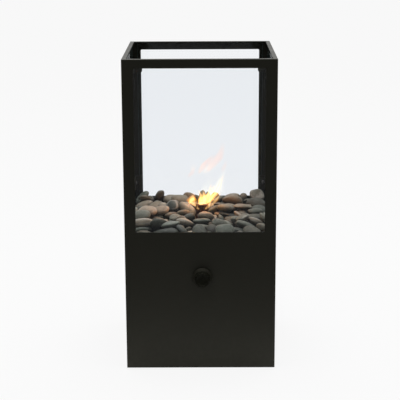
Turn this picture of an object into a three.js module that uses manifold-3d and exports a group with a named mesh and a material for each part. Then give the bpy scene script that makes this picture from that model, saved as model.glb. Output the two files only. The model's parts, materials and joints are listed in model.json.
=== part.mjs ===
// Free-standing gas fire lantern: a square sheet-steel housing with a glazed fire chamber above
// a closed lower compartment. A screw-on gas cartridge hangs under a valve in the lower
// compartment, a burner stands up through a tray of pebbles, and a knob on the front turns the
// valve through a long shaft.
//
// Millimetres, +Z up, front towards -Y. The origin is on the floor, under the middle of the
// bounding box, so the housing stands behind it by half of the knob's reach.

import * as THREE from 'three';
import { mergeVertices } from 'three/addons/utils/BufferGeometryUtils.js';
import Module from 'manifold-3d';

const wasm = await Module();
wasm.setup();

// ---------- driving dimensions ----------

const GAP = 0.3;                 // left between two pieces that touch
const SLACK = 1;                 // how far a cutting tool runs past the face it cuts

// sides of the polygons that stand for circles
const SMALL_SIDES = 12;
const MEDIUM_SIDES = 20;
const LARGE_SIDES = 36;

// housing
const WIDTH = 240;               // outer width and depth
const TOP = 505;                 // height of the top rim
const FOOT_HEIGHT = 2;           // height of the housing's lower edge
const SHEET = 1.5;               // steel sheet
const POST = 18;                 // width of the upright on each side of a window
const BAR = 14;                  // height of the bar over a window
const SILL = 231;                // height of a window's lower edge
const WINDOW_RADIUS = 2;         // corner radius of a window
const TOP_LIP = 7;               // lip folded inwards at the top
const BASE_LIP = 20;             // lip folded inwards at the bottom

// glazing
const GLASS = 3;                 // pane thickness
const PANE_EDGE = 12;            // from the housing's corner to a pane's upright edge
const PANE_TOP = TOP - SHEET - GAP;
const PANE_RADIUS = 3;
const CLIP_SHEET = 1.2;
const CLIP_HEIGHT = 24;
const CLIPS = {                  // middle height, and reach from the housing's corner
  lower: { level: 257, reach: POST - 1.5 },
  upper: { level: 464, reach: POST + 2 },
};
const CLIP_SCREW_EDGE = 9.5;     // from the housing's corner to the axis of a clip's screw
const CLIP_SCREW_RADIUS = 1.5;

// tray and pebbles
const TRAY_SHEET = 1;
const TRAY_FLOOR = 200;          // underside of the tray
const TRAY_RIM = 214;            // top of the rim that the panes stand on
const TRAY_HALF = WIDTH / 2 - 7; // half of the pan's outer width
const PEBBLE_LEVEL = 231;        // mean height of the pebbles' top
const PEBBLE_WAVE = 4.5;         // height of the stones above and below that level
const PEBBLE_PITCH = 27;         // spacing of the stones
const PEBBLE_STEPS = 20;         // grid squares along each side of the bed
const BURNER_WELL = 14.5;        // radius of the well left around the burner
const BRACKET_SHEET = 1.5;

// gas train, on one upright axis
const GAS_X = 3;                 // the axis stands this far to the right of the housing's middle
const VALVE_Z = 156;             // height of the knob and of the valve's spindle
const CARTRIDGE_RADIUS = 55;
const CARTRIDGE_BOTTOM = 36;
const STEM_RADIUS = 5.3;         // threaded stem of the cartridge
const SHAFT_RADIUS = 3;

// knob
const KNOB_REACH = 16;           // from the front panel to the knob's face
const SKIRT_RADIUS = 16.5;
const GRIP_RADIUS = 12;

// ---------- materials ----------

const finish = (color, roughness, metalness = 0) =>
  new THREE.MeshStandardMaterial({ color, roughness, metalness });

const blackCoat = finish(0x1c1b19, 0.55, 0.1);
const glass = new THREE.MeshStandardMaterial({
  color: 0xdfe9ee,
  roughness: 0.03,
  transparent: true,
  opacity: 0.2,
});
const zinc = finish(0x9a9c9e, 0.4, 0.9);
const stainless = finish(0xa8a6a2, 0.35, 0.95);
const scorched = finish(0x4a2c22, 0.6, 0.8);
const brass = finish(0xb08d4c, 0.35, 0.9);
const blackPlastic = finish(0x161616, 0.5);
const blackRubber = finish(0x0e0e0e, 0.9);
const stone = finish(0x56584f, 0.75);
const canPaint = finish(0x3f6f8f, 0.35, 0.3);

// ---------- solids ----------

function solidOf(geometry) {
  const bare = geometry.index ? geometry.clone() : geometry;
  bare.deleteAttribute('normal');
  bare.deleteAttribute('uv');
  const merged = mergeVertices(bare, 1e-4);
  return new wasm.Manifold(new wasm.Mesh({
    numProp: 3,
    vertProperties: new Float32Array(merged.attributes.position.array),
    triVerts: new Uint32Array(merged.index.array),
  }));
}

function geometryOf(solid) {
  const mesh = solid.getMesh();
  const geometry = new THREE.BufferGeometry();
  geometry.setAttribute('position', new THREE.BufferAttribute(mesh.vertProperties, 3));
  geometry.setIndex(new THREE.BufferAttribute(mesh.triVerts, 1));
  geometry.computeVertexNormals();
  return geometry;
}

const join = (first, ...others) => others.reduce((sum, other) => sum.add(other), first);
const cut = (body, ...tools) => tools.reduce((rest, tool) => rest.subtract(tool), body);

// A box between two corners.
function box([x0, y0, z0], [x1, y1, z1]) {
  const geometry = new THREE.BoxGeometry(x1 - x0, y1 - y0, z1 - z0);
  geometry.translate((x0 + x1) / 2, (y0 + y1) / 2, (z0 + z1) / 2);
  return solidOf(geometry);
}

// A solid of revolution around +Z, from [radius, height] pairs that start and end on the axis.
function turned(profile, sides = MEDIUM_SIDES) {
  const points = profile.map(([radius, height]) => new THREE.Vector2(radius, height));
  const geometry = new THREE.LatheGeometry(points, sides);
  geometry.rotateX(Math.PI / 2);
  return solidOf(geometry);
}

// A round bar around +Z.
function rod(radius, low, high, sides = SMALL_SIDES) {
  return turned([[0, low], [radius, low], [radius, high], [0, high]], sides);
}

// A flat outline in XY, raised from one height to another.
function raised(shape, low, high) {
  const geometry = new THREE.ExtrudeGeometry(shape, {
    depth: high - low,
    bevelEnabled: false,
    curveSegments: 4,
  });
  geometry.translate(0, 0, low);
  return solidOf(geometry);
}

function outline(points) {
  return new THREE.Shape(points.map(([x, y]) => new THREE.Vector2(x, y)));
}

function hexagon(acrossFlats) {
  const radius = acrossFlats / Math.sqrt(3);
  const corners = [0, 1, 2, 3, 4, 5].map((corner) => {
    const angle = corner * Math.PI / 3;
    return [radius * Math.cos(angle), radius * Math.sin(angle)];
  });
  return outline(corners);
}

function roundedRectangle(x0, x1, y0, y1, radius) {
  const shape = new THREE.Shape();
  shape.moveTo(x0 + radius, y0);
  shape.lineTo(x1 - radius, y0);
  shape.absarc(x1 - radius, y0 + radius, radius, -Math.PI / 2, 0);
  shape.lineTo(x1, y1 - radius);
  shape.absarc(x1 - radius, y1 - radius, radius, 0, Math.PI / 2);
  shape.lineTo(x0 + radius, y1);
  shape.absarc(x0 + radius, y1 - radius, radius, Math.PI / 2, Math.PI);
  shape.lineTo(x0, y0 + radius);
  shape.absarc(x0 + radius, y0 + radius, radius, Math.PI, 1.5 * Math.PI);
  return shape;
}

// Turns a solid made around +Z, or drawn in XY, so that its +Z points to the front (-Y) and its
// +Y points up.
const faceFront = (solid) => solid.rotate([90, 0, 0]);

const move = (solid, x, y, z) => solid.translate([x, y, z]);

// ---------- assembly ----------

const lantern = new THREE.Group();
lantern.name = 'gas_fire_lantern';

const housing = new THREE.Group();
housing.position.y = KNOB_REACH / 2;
lantern.add(housing);

function addPart(name, solid, material, parent = housing) {
  const mesh = new THREE.Mesh(geometryOf(solid), material);
  mesh.name = name;
  parent.add(mesh);
  return mesh;
}

// One group for each side of the housing, drawn as the front and turned into place.
const SIDES = ['front', 'right', 'rear', 'left'];
const CORNERS = ['front_left', 'front_right', 'rear_right', 'rear_left'];

function quarterTurns(names) {
  return names.map((name, turns) => {
    const group = new THREE.Group();
    group.rotation.z = turns * Math.PI / 2;
    housing.add(group);
    return { name, group };
  });
}

const sides = quarterTurns(SIDES);
const corners = quarterTurns(CORNERS);

const HALF = WIDTH / 2;
const INNER_FACE = HALF - SHEET;               // inside of a wall
const PANE_OUT = INNER_FACE - GAP;             // outside of a pane
const PANE_IN = PANE_OUT - GLASS;              // inside of a pane

// ---------- housing panels ----------

const FOOT_X = 100;              // along the front and rear lips
const FOOT_EDGE = 14;            // from the housing's face to a foot's axis
const FOOT_RADIUS = 5.5;
const FOOT_STEM = 2;
const BUSH_RADIUS = 6;

// The wedge of floor plan that belongs to one side, so that neighbours meet on a mitre.
function mitre() {
  const setback = GAP / Math.SQRT2;
  const plan = outline([[0, -setback], [-WIDTH, -WIDTH - setback], [WIDTH, -WIDTH - setback]]);
  return raised(plan, 0, TOP + SLACK);
}

function windowTool() {
  const edge = HALF - POST;
  const shape = roundedRectangle(-edge, edge, SILL, TOP - BAR, WINDOW_RADIUS);
  return move(faceFront(raised(shape, 0, SHEET + 2 * SLACK)), 0, -INNER_FACE + SLACK, 0);
}

function panel(...holes) {
  const wall = box([-HALF, -HALF, FOOT_HEIGHT], [HALF, -INNER_FACE, TOP]);
  const topLip = box([-HALF, -HALF, TOP - SHEET], [HALF, TOP_LIP - HALF, TOP]);
  const baseLip = box([-HALF, -HALF, FOOT_HEIGHT], [HALF, BASE_LIP - HALF, FOOT_HEIGHT + SHEET]);
  return cut(join(wall, topLip, baseLip).intersect(mitre()), windowTool(), ...holes);
}

function shaftHole() {
  const tool = faceFront(rod(BUSH_RADIUS + GAP, 0, SHEET + 2 * SLACK));
  return move(tool, GAS_X, -INNER_FACE + SLACK, VALVE_Z);
}

function footHole(x) {
  const tool = rod(FOOT_STEM + GAP, 0, FOOT_HEIGHT + SHEET + SLACK);
  return move(tool, x, FOOT_EDGE - HALF, 0);
}

const footHoles = () => [footHole(-FOOT_X), footHole(FOOT_X)];

const panelSolids = {
  front: () => panel(shaftHole(), ...footHoles()),
  right: () => panel(),
  rear: () => panel(...footHoles()),
  left: () => panel(),
};

for (const { name, group } of sides) {
  addPart(`${name}_panel`, panelSolids[name](), blackCoat, group);
}

// Push-in rubber feet: a disc on the floor, a stem through the lip and a head above it.
function foot() {
  const lipTop = FOOT_HEIGHT + SHEET + GAP;
  const headRadius = FOOT_STEM + 0.8;
  const headHeight = 1.4;
  return turned([
    [0, 0],
    [FOOT_RADIUS, 0],
    [FOOT_RADIUS, FOOT_HEIGHT - GAP],
    [FOOT_STEM, FOOT_HEIGHT - GAP],
    [FOOT_STEM, lipTop],
    [headRadius, lipTop],
    [FOOT_STEM, lipTop + headHeight],
    [0, lipTop + headHeight],
  ], SMALL_SIDES);
}

for (const { name, group } of sides.filter((side) => side.name === 'front' || side.name === 'rear')) {
  for (const [end, x] of [['left', -FOOT_X], ['right', FOOT_X]]) {
    addPart(`${name}_foot_${end}`, move(foot(), x, FOOT_EDGE - HALF, 0), blackRubber, group);
  }
}

// ---------- glass panes ----------

function pane() {
  const edge = HALF - PANE_EDGE;
  const shape = roundedRectangle(-edge, edge, TRAY_RIM + GAP, PANE_TOP, PANE_RADIUS);
  return move(faceFront(raised(shape, 0, GLASS)), 0, -PANE_IN, 0);
}

for (const { name, group } of sides) {
  addPart(`${name}_glass`, pane(), glass, group);
}

// ---------- corner clips that hold the panes, each drawn in the front left corner ----------

function cornerClip({ level, reach }) {
  const outer = PANE_IN - GAP;
  const inner = outer - CLIP_SHEET;
  const end = HALF - reach;
  const plan = outline([
    [-outer, -outer],
    [-end, -outer],
    [-end, -inner],
    [-inner, -inner],
    [-inner, -end],
    [-outer, -end],
  ]);
  const low = level - CLIP_HEIGHT / 2;
  const hole = faceFront(rod(CLIP_SCREW_RADIUS + GAP, -2 * SLACK, CLIP_SHEET + 2 * SLACK));
  const drilled = move(hole, CLIP_SCREW_EDGE - HALF, -inner, level);
  return cut(raised(plan, low, low + CLIP_HEIGHT), drilled);
}

function clipScrew({ level }) {
  const headRadius = 2.8;
  const headHeight = 2;
  const head = PANE_IN - GAP - CLIP_SHEET - GAP;
  const tip = INNER_FACE - GAP - head;
  const screw = turned([
    [0, -headHeight],
    [headRadius - 0.6, -headHeight],
    [headRadius, 0.7 - headHeight],
    [headRadius, 0],
    [CLIP_SCREW_RADIUS, 0],
    [CLIP_SCREW_RADIUS, tip],
    [0, tip],
  ], SMALL_SIDES);
  return move(faceFront(screw), CLIP_SCREW_EDGE - HALF, -head, level);
}

for (const { name, group } of corners) {
  for (const [end, clip] of Object.entries(CLIPS)) {
    addPart(`glass_clip_${name}_${end}`, cornerClip(clip), blackCoat, group);
    addPart(`clip_screw_${name}_${end}`, clipScrew(clip), zinc, group);
  }
}

// ---------- pebble tray ----------

const TRAY_TOP = TRAY_FLOOR + TRAY_SHEET;      // upper face of the tray's floor
const TRAY_SCREW_EDGE = 16;                    // from the housing's face to a tray screw
const STRAP_SCREW_X = 37;                      // from the gas axis to a strap screw
const SCREW_RADIUS = 2;
const SCREW_HOLE = SCREW_RADIUS + GAP;
const SCREW_HEAD_RADIUS = 3.8;
const SCREW_HEAD_HEIGHT = 2.4;
const SCREW_LENGTH = 10;
const TUBE_RADIUS = 8;                         // burner tube where it passes the tray

const FLOOR_SCREWS = [
  [GAS_X - STRAP_SCREW_X, 0],
  [GAS_X + STRAP_SCREW_X, 0],
  [0, TRAY_SCREW_EDGE - HALF],
  [0, HALF - TRAY_SCREW_EDGE],
  [TRAY_SCREW_EDGE - HALF, 0],
  [HALF - TRAY_SCREW_EDGE, 0],
];

function pebbleTray() {
  const square = (half, low, high) => box([-half, -half, low], [half, half, high]);
  const pan = square(TRAY_HALF, TRAY_FLOOR, TRAY_RIM);
  const rim = square(PANE_OUT, TRAY_RIM - TRAY_SHEET, TRAY_RIM);
  const inside = square(TRAY_HALF - TRAY_SHEET, TRAY_TOP, TRAY_RIM + SLACK);
  const hole = (radius, x, y) => move(rod(radius, TRAY_FLOOR - SLACK, TRAY_TOP + SLACK), x, y, 0);
  return cut(
    join(pan, rim),
    inside,
    hole(TUBE_RADIUS + GAP, GAS_X, 0),
    ...FLOOR_SCREWS.map(([x, y]) => hole(SCREW_HOLE, x, y)),
  );
}

addPart('pebble_tray', pebbleTray(), stainless);

// An angle on each wall carries the tray's floor.
function trayBracket() {
  const halfLength = 20;
  const drop = 24;
  const reach = 20;
  const top = TRAY_FLOOR - GAP;
  const wallFace = GAP - INNER_FACE;
  const upright = box([-halfLength, wallFace, top - drop], [halfLength, wallFace + BRACKET_SHEET, top]);
  const shelf = box([-halfLength, wallFace, top - BRACKET_SHEET], [halfLength, wallFace + reach, top]);
  const hole = rod(SCREW_HOLE, top - BRACKET_SHEET - SLACK, top + SLACK);
  return cut(join(upright, shelf), move(hole, 0, TRAY_SCREW_EDGE - HALF, 0));
}

// A pan-head screw that stands on the tray's floor and points down.
function floorScrew() {
  const tip = TRAY_TOP + GAP - SCREW_LENGTH;
  const seat = TRAY_TOP + GAP;
  const crown = seat + SCREW_HEAD_HEIGHT;
  return turned([
    [0, tip],
    [SCREW_RADIUS, tip],
    [SCREW_RADIUS, seat],
    [SCREW_HEAD_RADIUS, seat],
    [SCREW_HEAD_RADIUS, crown - 1],
    [SCREW_HEAD_RADIUS - 1, crown],
    [0, crown],
  ], SMALL_SIDES);
}

for (const { name, group } of sides) {
  addPart(`tray_bracket_${name}`, trayBracket(), zinc, group);
  addPart(`tray_screw_${name}`, move(floorScrew(), 0, TRAY_SCREW_EDGE - HALF, 0), zinc, group);
}

// ---------- gas train, drawn on its own axis ----------

const gasTrain = new THREE.Group();
gasTrain.position.x = GAS_X;
housing.add(gasTrain);

// Heights up the axis.
const SHOULDER_LOW = 104;
const SHOULDER_HIGH = 125;
const CARTRIDGE_RIM = 130.7;
const COLLAR_LOW = CARTRIDGE_RIM + GAP;
const COLLAR_HIGH = 146;
const VALVE_LOW = 143.3;
const VALVE_HIGH = 169.7;
const STRAP_LOW = 170;
const NECK_HIGH = 182;
const NECK_RADIUS = 6;
const BODY_RADIUS = 12;

// Screw-on cartridge: concave base, straight wall, domed shoulder, rolled rim and threaded stem.
// It is a thin can, open only through the bore of its stem.
const CAN_WALL = 1;
const CAN_RIM_RADIUS = 22;
const CAN_HOLLOW = 9;            // height of the base's middle above its rim
const CAN_HOLLOW_EDGE = 6;       // and of the hollow's flat part, out to this radius
const CAN_HOLLOW_RADIUS = 28;

// The domed shoulder, as [radius, height] pairs from its lower edge to the rolled rim.
function canShoulder(inset) {
  const rise = SHOULDER_HIGH - inset - SHOULDER_LOW;
  const spread = CARTRIDGE_RADIUS - inset - CAN_RIM_RADIUS;
  const steps = 6;
  const curve = [];
  for (let step = 0; step <= steps; step += 1) {
    const angle = step / steps * Math.PI / 2;
    curve.push([CAN_RIM_RADIUS + spread * Math.cos(angle), SHOULDER_LOW + rise * Math.sin(angle)]);
  }
  return curve;
}

function gasCartridge() {
  const base = CARTRIDGE_BOTTOM;
  const stemTop = COLLAR_HIGH - 1.4;
  const outside = turned([
    [0, base + CAN_HOLLOW],
    [CAN_HOLLOW_RADIUS, base + CAN_HOLLOW_EDGE],
    [CARTRIDGE_RADIUS - 11, base + 1.5],
    [CARTRIDGE_RADIUS - 5, base],
    [CARTRIDGE_RADIUS - 1, base + 1.5],
    [CARTRIDGE_RADIUS, base + 5],
    ...canShoulder(0),
    [CAN_RIM_RADIUS, CARTRIDGE_RIM - 1],
    [CAN_RIM_RADIUS - 1, CARTRIDGE_RIM],
    [CAN_RIM_RADIUS - 4, CARTRIDGE_RIM],
    [CAN_RIM_RADIUS - 6, CARTRIDGE_RIM - 4],
    [STEM_RADIUS, CARTRIDGE_RIM - 3],
    [STEM_RADIUS, stemTop],
    [0, stemTop],
  ], LARGE_SIDES);
  const inside = turned([
    [0, base + CAN_HOLLOW + CAN_WALL],
    [CAN_HOLLOW_RADIUS, base + CAN_HOLLOW_EDGE + CAN_WALL],
    [CARTRIDGE_RADIUS - CAN_WALL, base + 5],
    ...canShoulder(CAN_WALL),
    [0, SHOULDER_HIGH - CAN_WALL],
  ], LARGE_SIDES);
  const stemBore = rod(1.5, SHOULDER_HIGH - 5, stemTop + SLACK);
  return cut(outside, inside, stemBore);
}

addPart('gas_cartridge', gasCartridge(), canPaint, gasTrain);

// Knurled collar that the cartridge screws up against, with a seat for the valve body on top.
function inletCollar() {
  const outer = 21;
  const teeth = 24;
  const grooveRadius = 1.2;
  const grooveSides = 6;
  const plain = turned([
    [STEM_RADIUS + GAP, COLLAR_LOW],
    [outer - 1, COLLAR_LOW],
    [outer, COLLAR_LOW + 1],
    [outer, COLLAR_HIGH - 1],
    [outer - 1, COLLAR_HIGH],
    [BODY_RADIUS + GAP, COLLAR_HIGH],
    [BODY_RADIUS + GAP, VALVE_LOW - GAP],
    [STEM_RADIUS + GAP, VALVE_LOW - GAP],
    [STEM_RADIUS + GAP, COLLAR_LOW],
  ], LARGE_SIDES);
  const grooves = [];
  for (let tooth = 0; tooth < teeth; tooth += 1) {
    const groove = rod(grooveRadius, COLLAR_LOW - SLACK, COLLAR_HIGH + SLACK, grooveSides);
    grooves.push(move(groove, outer + 0.4, 0, 0).rotate([0, 0, tooth * 360 / teeth]));
  }
  return cut(plain, ...grooves);
}

addPart('inlet_collar', inletCollar(), blackPlastic, gasTrain);

const SEAL_RECESS = 2.2;         // depth of the recess in the valve body that holds the seal
const SEAL_RADIUS = 8;

function inletSeal() {
  const inner = STEM_RADIUS + GAP;
  const low = VALVE_LOW + GAP;
  const high = VALVE_LOW + SEAL_RECESS - GAP;
  return turned([[inner, low], [SEAL_RADIUS, low], [SEAL_RADIUS, high], [inner, high], [inner, low]]);
}

addPart('inlet_seal', inletSeal(), blackRubber, gasTrain);

// Brass valve: upright body, threaded neck, and a boss towards the front for the spindle.
const BOSS_REACH = 24;
const SPINDLE_RADIUS = 2.5;
const SPINDLE_DEPTH = 8;         // how near the gas axis the spindle's tip comes
const BOSS_RADIUS = 8;
const INJECTOR_TAIL = 2.5;       // radius of the jet's tail in the neck
const OUTLET_LOW = NECK_HIGH - 7; // bottom of the bore for that tail

function valveBody() {
  const body = turned([
    [0, VALVE_LOW],
    [BODY_RADIUS, VALVE_LOW],
    [BODY_RADIUS, VALVE_HIGH - 1],
    [BODY_RADIUS - 1, VALVE_HIGH],
    [NECK_RADIUS, VALVE_HIGH],
    [NECK_RADIUS, NECK_HIGH],
    [0, NECK_HIGH],
  ]);
  const boss = move(faceFront(rod(BOSS_RADIUS, 0, BOSS_REACH)), 0, 0, VALVE_Z);
  const recess = rod(SEAL_RADIUS + GAP, VALVE_LOW - SLACK, VALVE_LOW + SEAL_RECESS);
  const bore = faceFront(rod(SPINDLE_RADIUS + GAP, SPINDLE_DEPTH - GAP, BOSS_REACH + SLACK));
  const outlet = rod(INJECTOR_TAIL + GAP, OUTLET_LOW, NECK_HIGH + SLACK);
  return cut(join(body, boss), recess, move(bore, 0, 0, VALVE_Z), outlet);
}

addPart('valve_body', valveBody(), brass, gasTrain);

function hexNut(acrossFlats, bore, low, high) {
  return cut(raised(hexagon(acrossFlats), low, high), rod(bore, low - SLACK, high + SLACK));
}

const GLAND_FLATS = 14;          // sizes of the nuts across their flats
const NECK_FLATS = 17;
const LOCKNUT_FLATS = 24;
const NUT_HEIGHT = 5;

const glandLow = BOSS_REACH + GAP;
const glandNut = faceFront(hexNut(GLAND_FLATS, SPINDLE_RADIUS + GAP, glandLow, glandLow + NUT_HEIGHT));
addPart('gland_nut', move(glandNut, 0, 0, VALVE_Z), brass, gasTrain);

// Hat-shaped strap under the tray: the valve's neck passes through its lower web.
const STRAP_SHEET = 1.5;
const STRAP_HALF_WEB = 29;
const STRAP_HALF_LENGTH = 45;

function valveStrap() {
  const top = TRAY_FLOOR - GAP;
  const web = STRAP_HALF_WEB;
  const end = STRAP_HALF_LENGTH;
  const hat = outline([
    [-end, top],
    [-end, top - STRAP_SHEET],
    [-web, top - STRAP_SHEET],
    [-web, STRAP_LOW],
    [web, STRAP_LOW],
    [web, top - STRAP_SHEET],
    [end, top - STRAP_SHEET],
    [end, top],
    [web - STRAP_SHEET, top],
    [web - STRAP_SHEET, STRAP_LOW + STRAP_SHEET],
    [STRAP_SHEET - web, STRAP_LOW + STRAP_SHEET],
    [STRAP_SHEET - web, top],
  ]);
  const halfWidth = 13;
  const strap = faceFront(raised(hat, -halfWidth, halfWidth));
  const neckHole = rod(NECK_RADIUS + GAP, STRAP_LOW - SLACK, STRAP_LOW + STRAP_SHEET + SLACK);
  const screwHole = rod(SCREW_HOLE, top - STRAP_SHEET - SLACK, top + SLACK);
  return cut(
    strap,
    neckHole,
    move(screwHole, -STRAP_SCREW_X, 0, 0),
    move(screwHole, STRAP_SCREW_X, 0, 0),
  );
}

addPart('valve_strap', valveStrap(), zinc, gasTrain);
addPart('strap_screw_left', move(floorScrew(), -STRAP_SCREW_X, 0, 0), zinc, gasTrain);
addPart('strap_screw_right', move(floorScrew(), STRAP_SCREW_X, 0, 0), zinc, gasTrain);

const NECK_NUT_LOW = STRAP_LOW + STRAP_SHEET + GAP;
const NECK_NUT_HIGH = NECK_NUT_LOW + NUT_HEIGHT;
const neckNut = hexNut(NECK_FLATS, NECK_RADIUS + GAP, NECK_NUT_LOW, NECK_NUT_HIGH);
addPart('neck_nut', neckNut, brass, gasTrain);

// Jet: a tail in the neck, a hexagon on it, and a nozzle inside the burner tube.
function injector() {
  const seat = NECK_HIGH + GAP;
  const tip = seat + 6.5;
  const nozzle = turned([
    [0, seat],
    [3, seat],
    [3, tip - 2.5],
    [1.2, tip],
    [0, tip],
  ], SMALL_SIDES);
  const acrossFlats = 9;
  const head = raised(hexagon(acrossFlats), seat, seat + 3);
  const tail = rod(INJECTOR_TAIL, OUTLET_LOW + 1.3, seat + SLACK);
  return join(tail, head, nozzle);
}

addPart('injector', injector(), brass, gasTrain);

// Mixing tube around the jet: air holes at the bottom, a shoulder under the tray and a stem.
const MIXER_RADIUS = 10;
const AIR_HOLE_RADIUS = 3;
const SHOULDER_RADIUS = 15;      // of the burner tube, under the tray
const TUBE_WALL = 1.5;
const TUBE_TOP = 226;

function burnerTube() {
  const low = NECK_NUT_HIGH + GAP;
  const shoulderHigh = TRAY_FLOOR - GAP;
  const mixerInner = MIXER_RADIUS - TUBE_WALL;
  const stemInner = TUBE_RADIUS - TUBE_WALL;
  const tube = turned([
    [NECK_RADIUS + GAP, low],
    [MIXER_RADIUS, low],
    [MIXER_RADIUS, shoulderHigh - 2],
    [SHOULDER_RADIUS, shoulderHigh - 2],
    [SHOULDER_RADIUS, shoulderHigh],
    [TUBE_RADIUS, shoulderHigh],
    [TUBE_RADIUS, TUBE_TOP],
    [stemInner, TUBE_TOP],
    [stemInner, shoulderHigh],
    [mixerInner, shoulderHigh - 4],
    [mixerInner, low + 2],
    [NECK_RADIUS + GAP, low + 2],
    [NECK_RADIUS + GAP, low],
  ]);
  const airHole = faceFront(rod(AIR_HOLE_RADIUS, -MIXER_RADIUS - SLACK, MIXER_RADIUS + SLACK));
  const level = low + 10;
  return cut(tube, move(airHole, 0, 0, level), move(airHole.rotate([0, 0, 90]), 0, 0, level));
}

addPart('burner_tube', burnerTube(), stainless, gasTrain);

const locknutLow = TRAY_TOP + GAP;
const locknut = hexNut(LOCKNUT_FLATS, TUBE_RADIUS + GAP, locknutLow, locknutLow + NUT_HEIGHT);
addPart('burner_locknut', locknut, zinc, gasTrain);

// Burner head: an open cup with a row of slots, and a domed gauze inside it.
const HEAD_RADIUS = 10.8;
const HEAD_WALL = 1.2;
const HEAD_LOW = 221;
const HEAD_HIGH = 247;
const HEAD_FLOOR = 2;
const SLOT_HALF = 1.3;           // half of a slot's width
const SLOT_LOW = HEAD_HIGH - 17;
const SLOT_HIGH = HEAD_HIGH - 4;
const GAUZE_RADIUS = HEAD_RADIUS - HEAD_WALL - GAP;

function burnerHead() {
  const inner = HEAD_RADIUS - HEAD_WALL;
  const cup = turned([
    [TUBE_RADIUS + GAP, HEAD_LOW],
    [HEAD_RADIUS - 1, HEAD_LOW],
    [HEAD_RADIUS, HEAD_LOW + 1],
    [HEAD_RADIUS, HEAD_HIGH],
    [inner, HEAD_HIGH],
    [inner, HEAD_LOW + HEAD_FLOOR],
    [TUBE_RADIUS + GAP, HEAD_LOW + HEAD_FLOOR],
    [TUBE_RADIUS + GAP, HEAD_LOW],
  ], LARGE_SIDES);
  const slots = [];
  const pairs = 6;
  const reach = HEAD_RADIUS + SLACK;
  for (let pair = 0; pair < pairs; pair += 1) {
    const slot = box([-SLOT_HALF, -reach, SLOT_LOW], [SLOT_HALF, reach, SLOT_HIGH]);
    slots.push(slot.rotate([0, 0, pair * 180 / pairs]));
  }
  return cut(cup, ...slots);
}

addPart('burner_head', burnerHead(), scorched, gasTrain);

function burnerGauze() {
  const thickness = 0.6;
  const low = TUBE_TOP + GAP;
  const shoulder = HEAD_HIGH - 3;
  const crown = HEAD_HIGH - GAP;
  const dome = GAUZE_RADIUS * 0.7;
  return turned([
    [GAUZE_RADIUS - thickness, low],
    [GAUZE_RADIUS, low],
    [GAUZE_RADIUS, shoulder],
    [dome, crown - 0.6],
    [0, crown],
    [0, crown - thickness],
    [dome, crown - 0.6 - thickness],
    [GAUZE_RADIUS - thickness, shoulder - thickness],
    [GAUZE_RADIUS - thickness, low],
  ]);
}

addPart('burner_gauze', burnerGauze(), scorched, gasTrain);

// ---------- pebble bed: one closed solid with a stony top and a well for the burner ----------

function pebbleBed() {
  const half = TRAY_HALF - TRAY_SHEET - GAP;
  const low = TRAY_TOP + GAP;
  const geometry = new THREE.BoxGeometry(2 * half, 2 * half, 1, PEBBLE_STEPS, PEBBLE_STEPS, 1);
  const position = geometry.attributes.position;
  for (let i = 0; i < position.count; i += 1) {
    const x = position.getX(i);
    const y = position.getY(i);
    const across = Math.cos(2 * Math.PI * x / PEBBLE_PITCH + Math.sin(y / PEBBLE_PITCH));
    const along = Math.cos(2 * Math.PI * y / PEBBLE_PITCH + Math.sin(x / PEBBLE_PITCH));
    const wave = across * along;
    const top = PEBBLE_LEVEL + PEBBLE_WAVE * wave;
    position.setZ(i, position.getZ(i) > 0 ? top : low);
  }
  const well = rod(BURNER_WELL, low - SLACK, PEBBLE_LEVEL + 3 * PEBBLE_WAVE, MEDIUM_SIDES);
  const pocket = rod(SCREW_HEAD_RADIUS + GAP, low - SLACK, low + SCREW_HEAD_HEIGHT + GAP);
  return cut(
    solidOf(geometry),
    move(well, GAS_X, 0, 0),
    ...FLOOR_SCREWS.map(([x, y]) => move(pocket, x, y, 0)),
  );
}

addPart('pebble_bed', pebbleBed(), stone);

// ---------- control shaft and knob, drawn along +Z and turned to point to the front ----------

const control = new THREE.Group();
control.position.z = VALVE_Z;
control.rotation.x = Math.PI / 2;
gasTrain.add(control);

const SPINDLE_END = 42;
const COUPLER_LOW = 33;
const COUPLER_HIGH = 53;
const KNOB_LOW = HALF + 1.8;     // back of the skirt
const KNOB_HIGH = HALF + KNOB_REACH;
const SHAFT_END = KNOB_HIGH - 5;

addPart('valve_spindle', rod(SPINDLE_RADIUS, SPINDLE_DEPTH, SPINDLE_END), brass, control);
addPart('control_shaft', rod(SHAFT_RADIUS, SPINDLE_END + GAP, SHAFT_END), zinc, control);

function shaftCoupler() {
  const outer = 6.5;
  const step = SPINDLE_END + GAP / 2;
  return turned([
    [SPINDLE_RADIUS + GAP, COUPLER_LOW],
    [outer, COUPLER_LOW],
    [outer, COUPLER_HIGH],
    [SHAFT_RADIUS + GAP, COUPLER_HIGH],
    [SHAFT_RADIUS + GAP, step],
    [SPINDLE_RADIUS + GAP, step],
    [SPINDLE_RADIUS + GAP, COUPLER_LOW],
  ]);
}

addPart('shaft_coupler', shaftCoupler(), brass, control);

// Nylon bush that guides the shaft through the front panel.
function panelBush() {
  const inner = SHAFT_RADIUS + GAP;
  const low = HALF - 8;
  const flangeRadius = BUSH_RADIUS + 3;
  const flangeHigh = KNOB_LOW - GAP;
  return turned([
    [inner, low],
    [BUSH_RADIUS, low],
    [BUSH_RADIUS, HALF + GAP],
    [flangeRadius, HALF + GAP],
    [flangeRadius, flangeHigh],
    [inner, flangeHigh],
    [inner, low],
  ]);
}

addPart('panel_bush', panelBush(), blackPlastic, control);

// Knob: a thin flared skirt, a waisted grip with flutes, a shallow dish and a pointer groove.
const KNOB_SCREW_LEVEL = KNOB_LOW + 7;
const KNOB_SCREW_RADIUS = 1.5;

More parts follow.
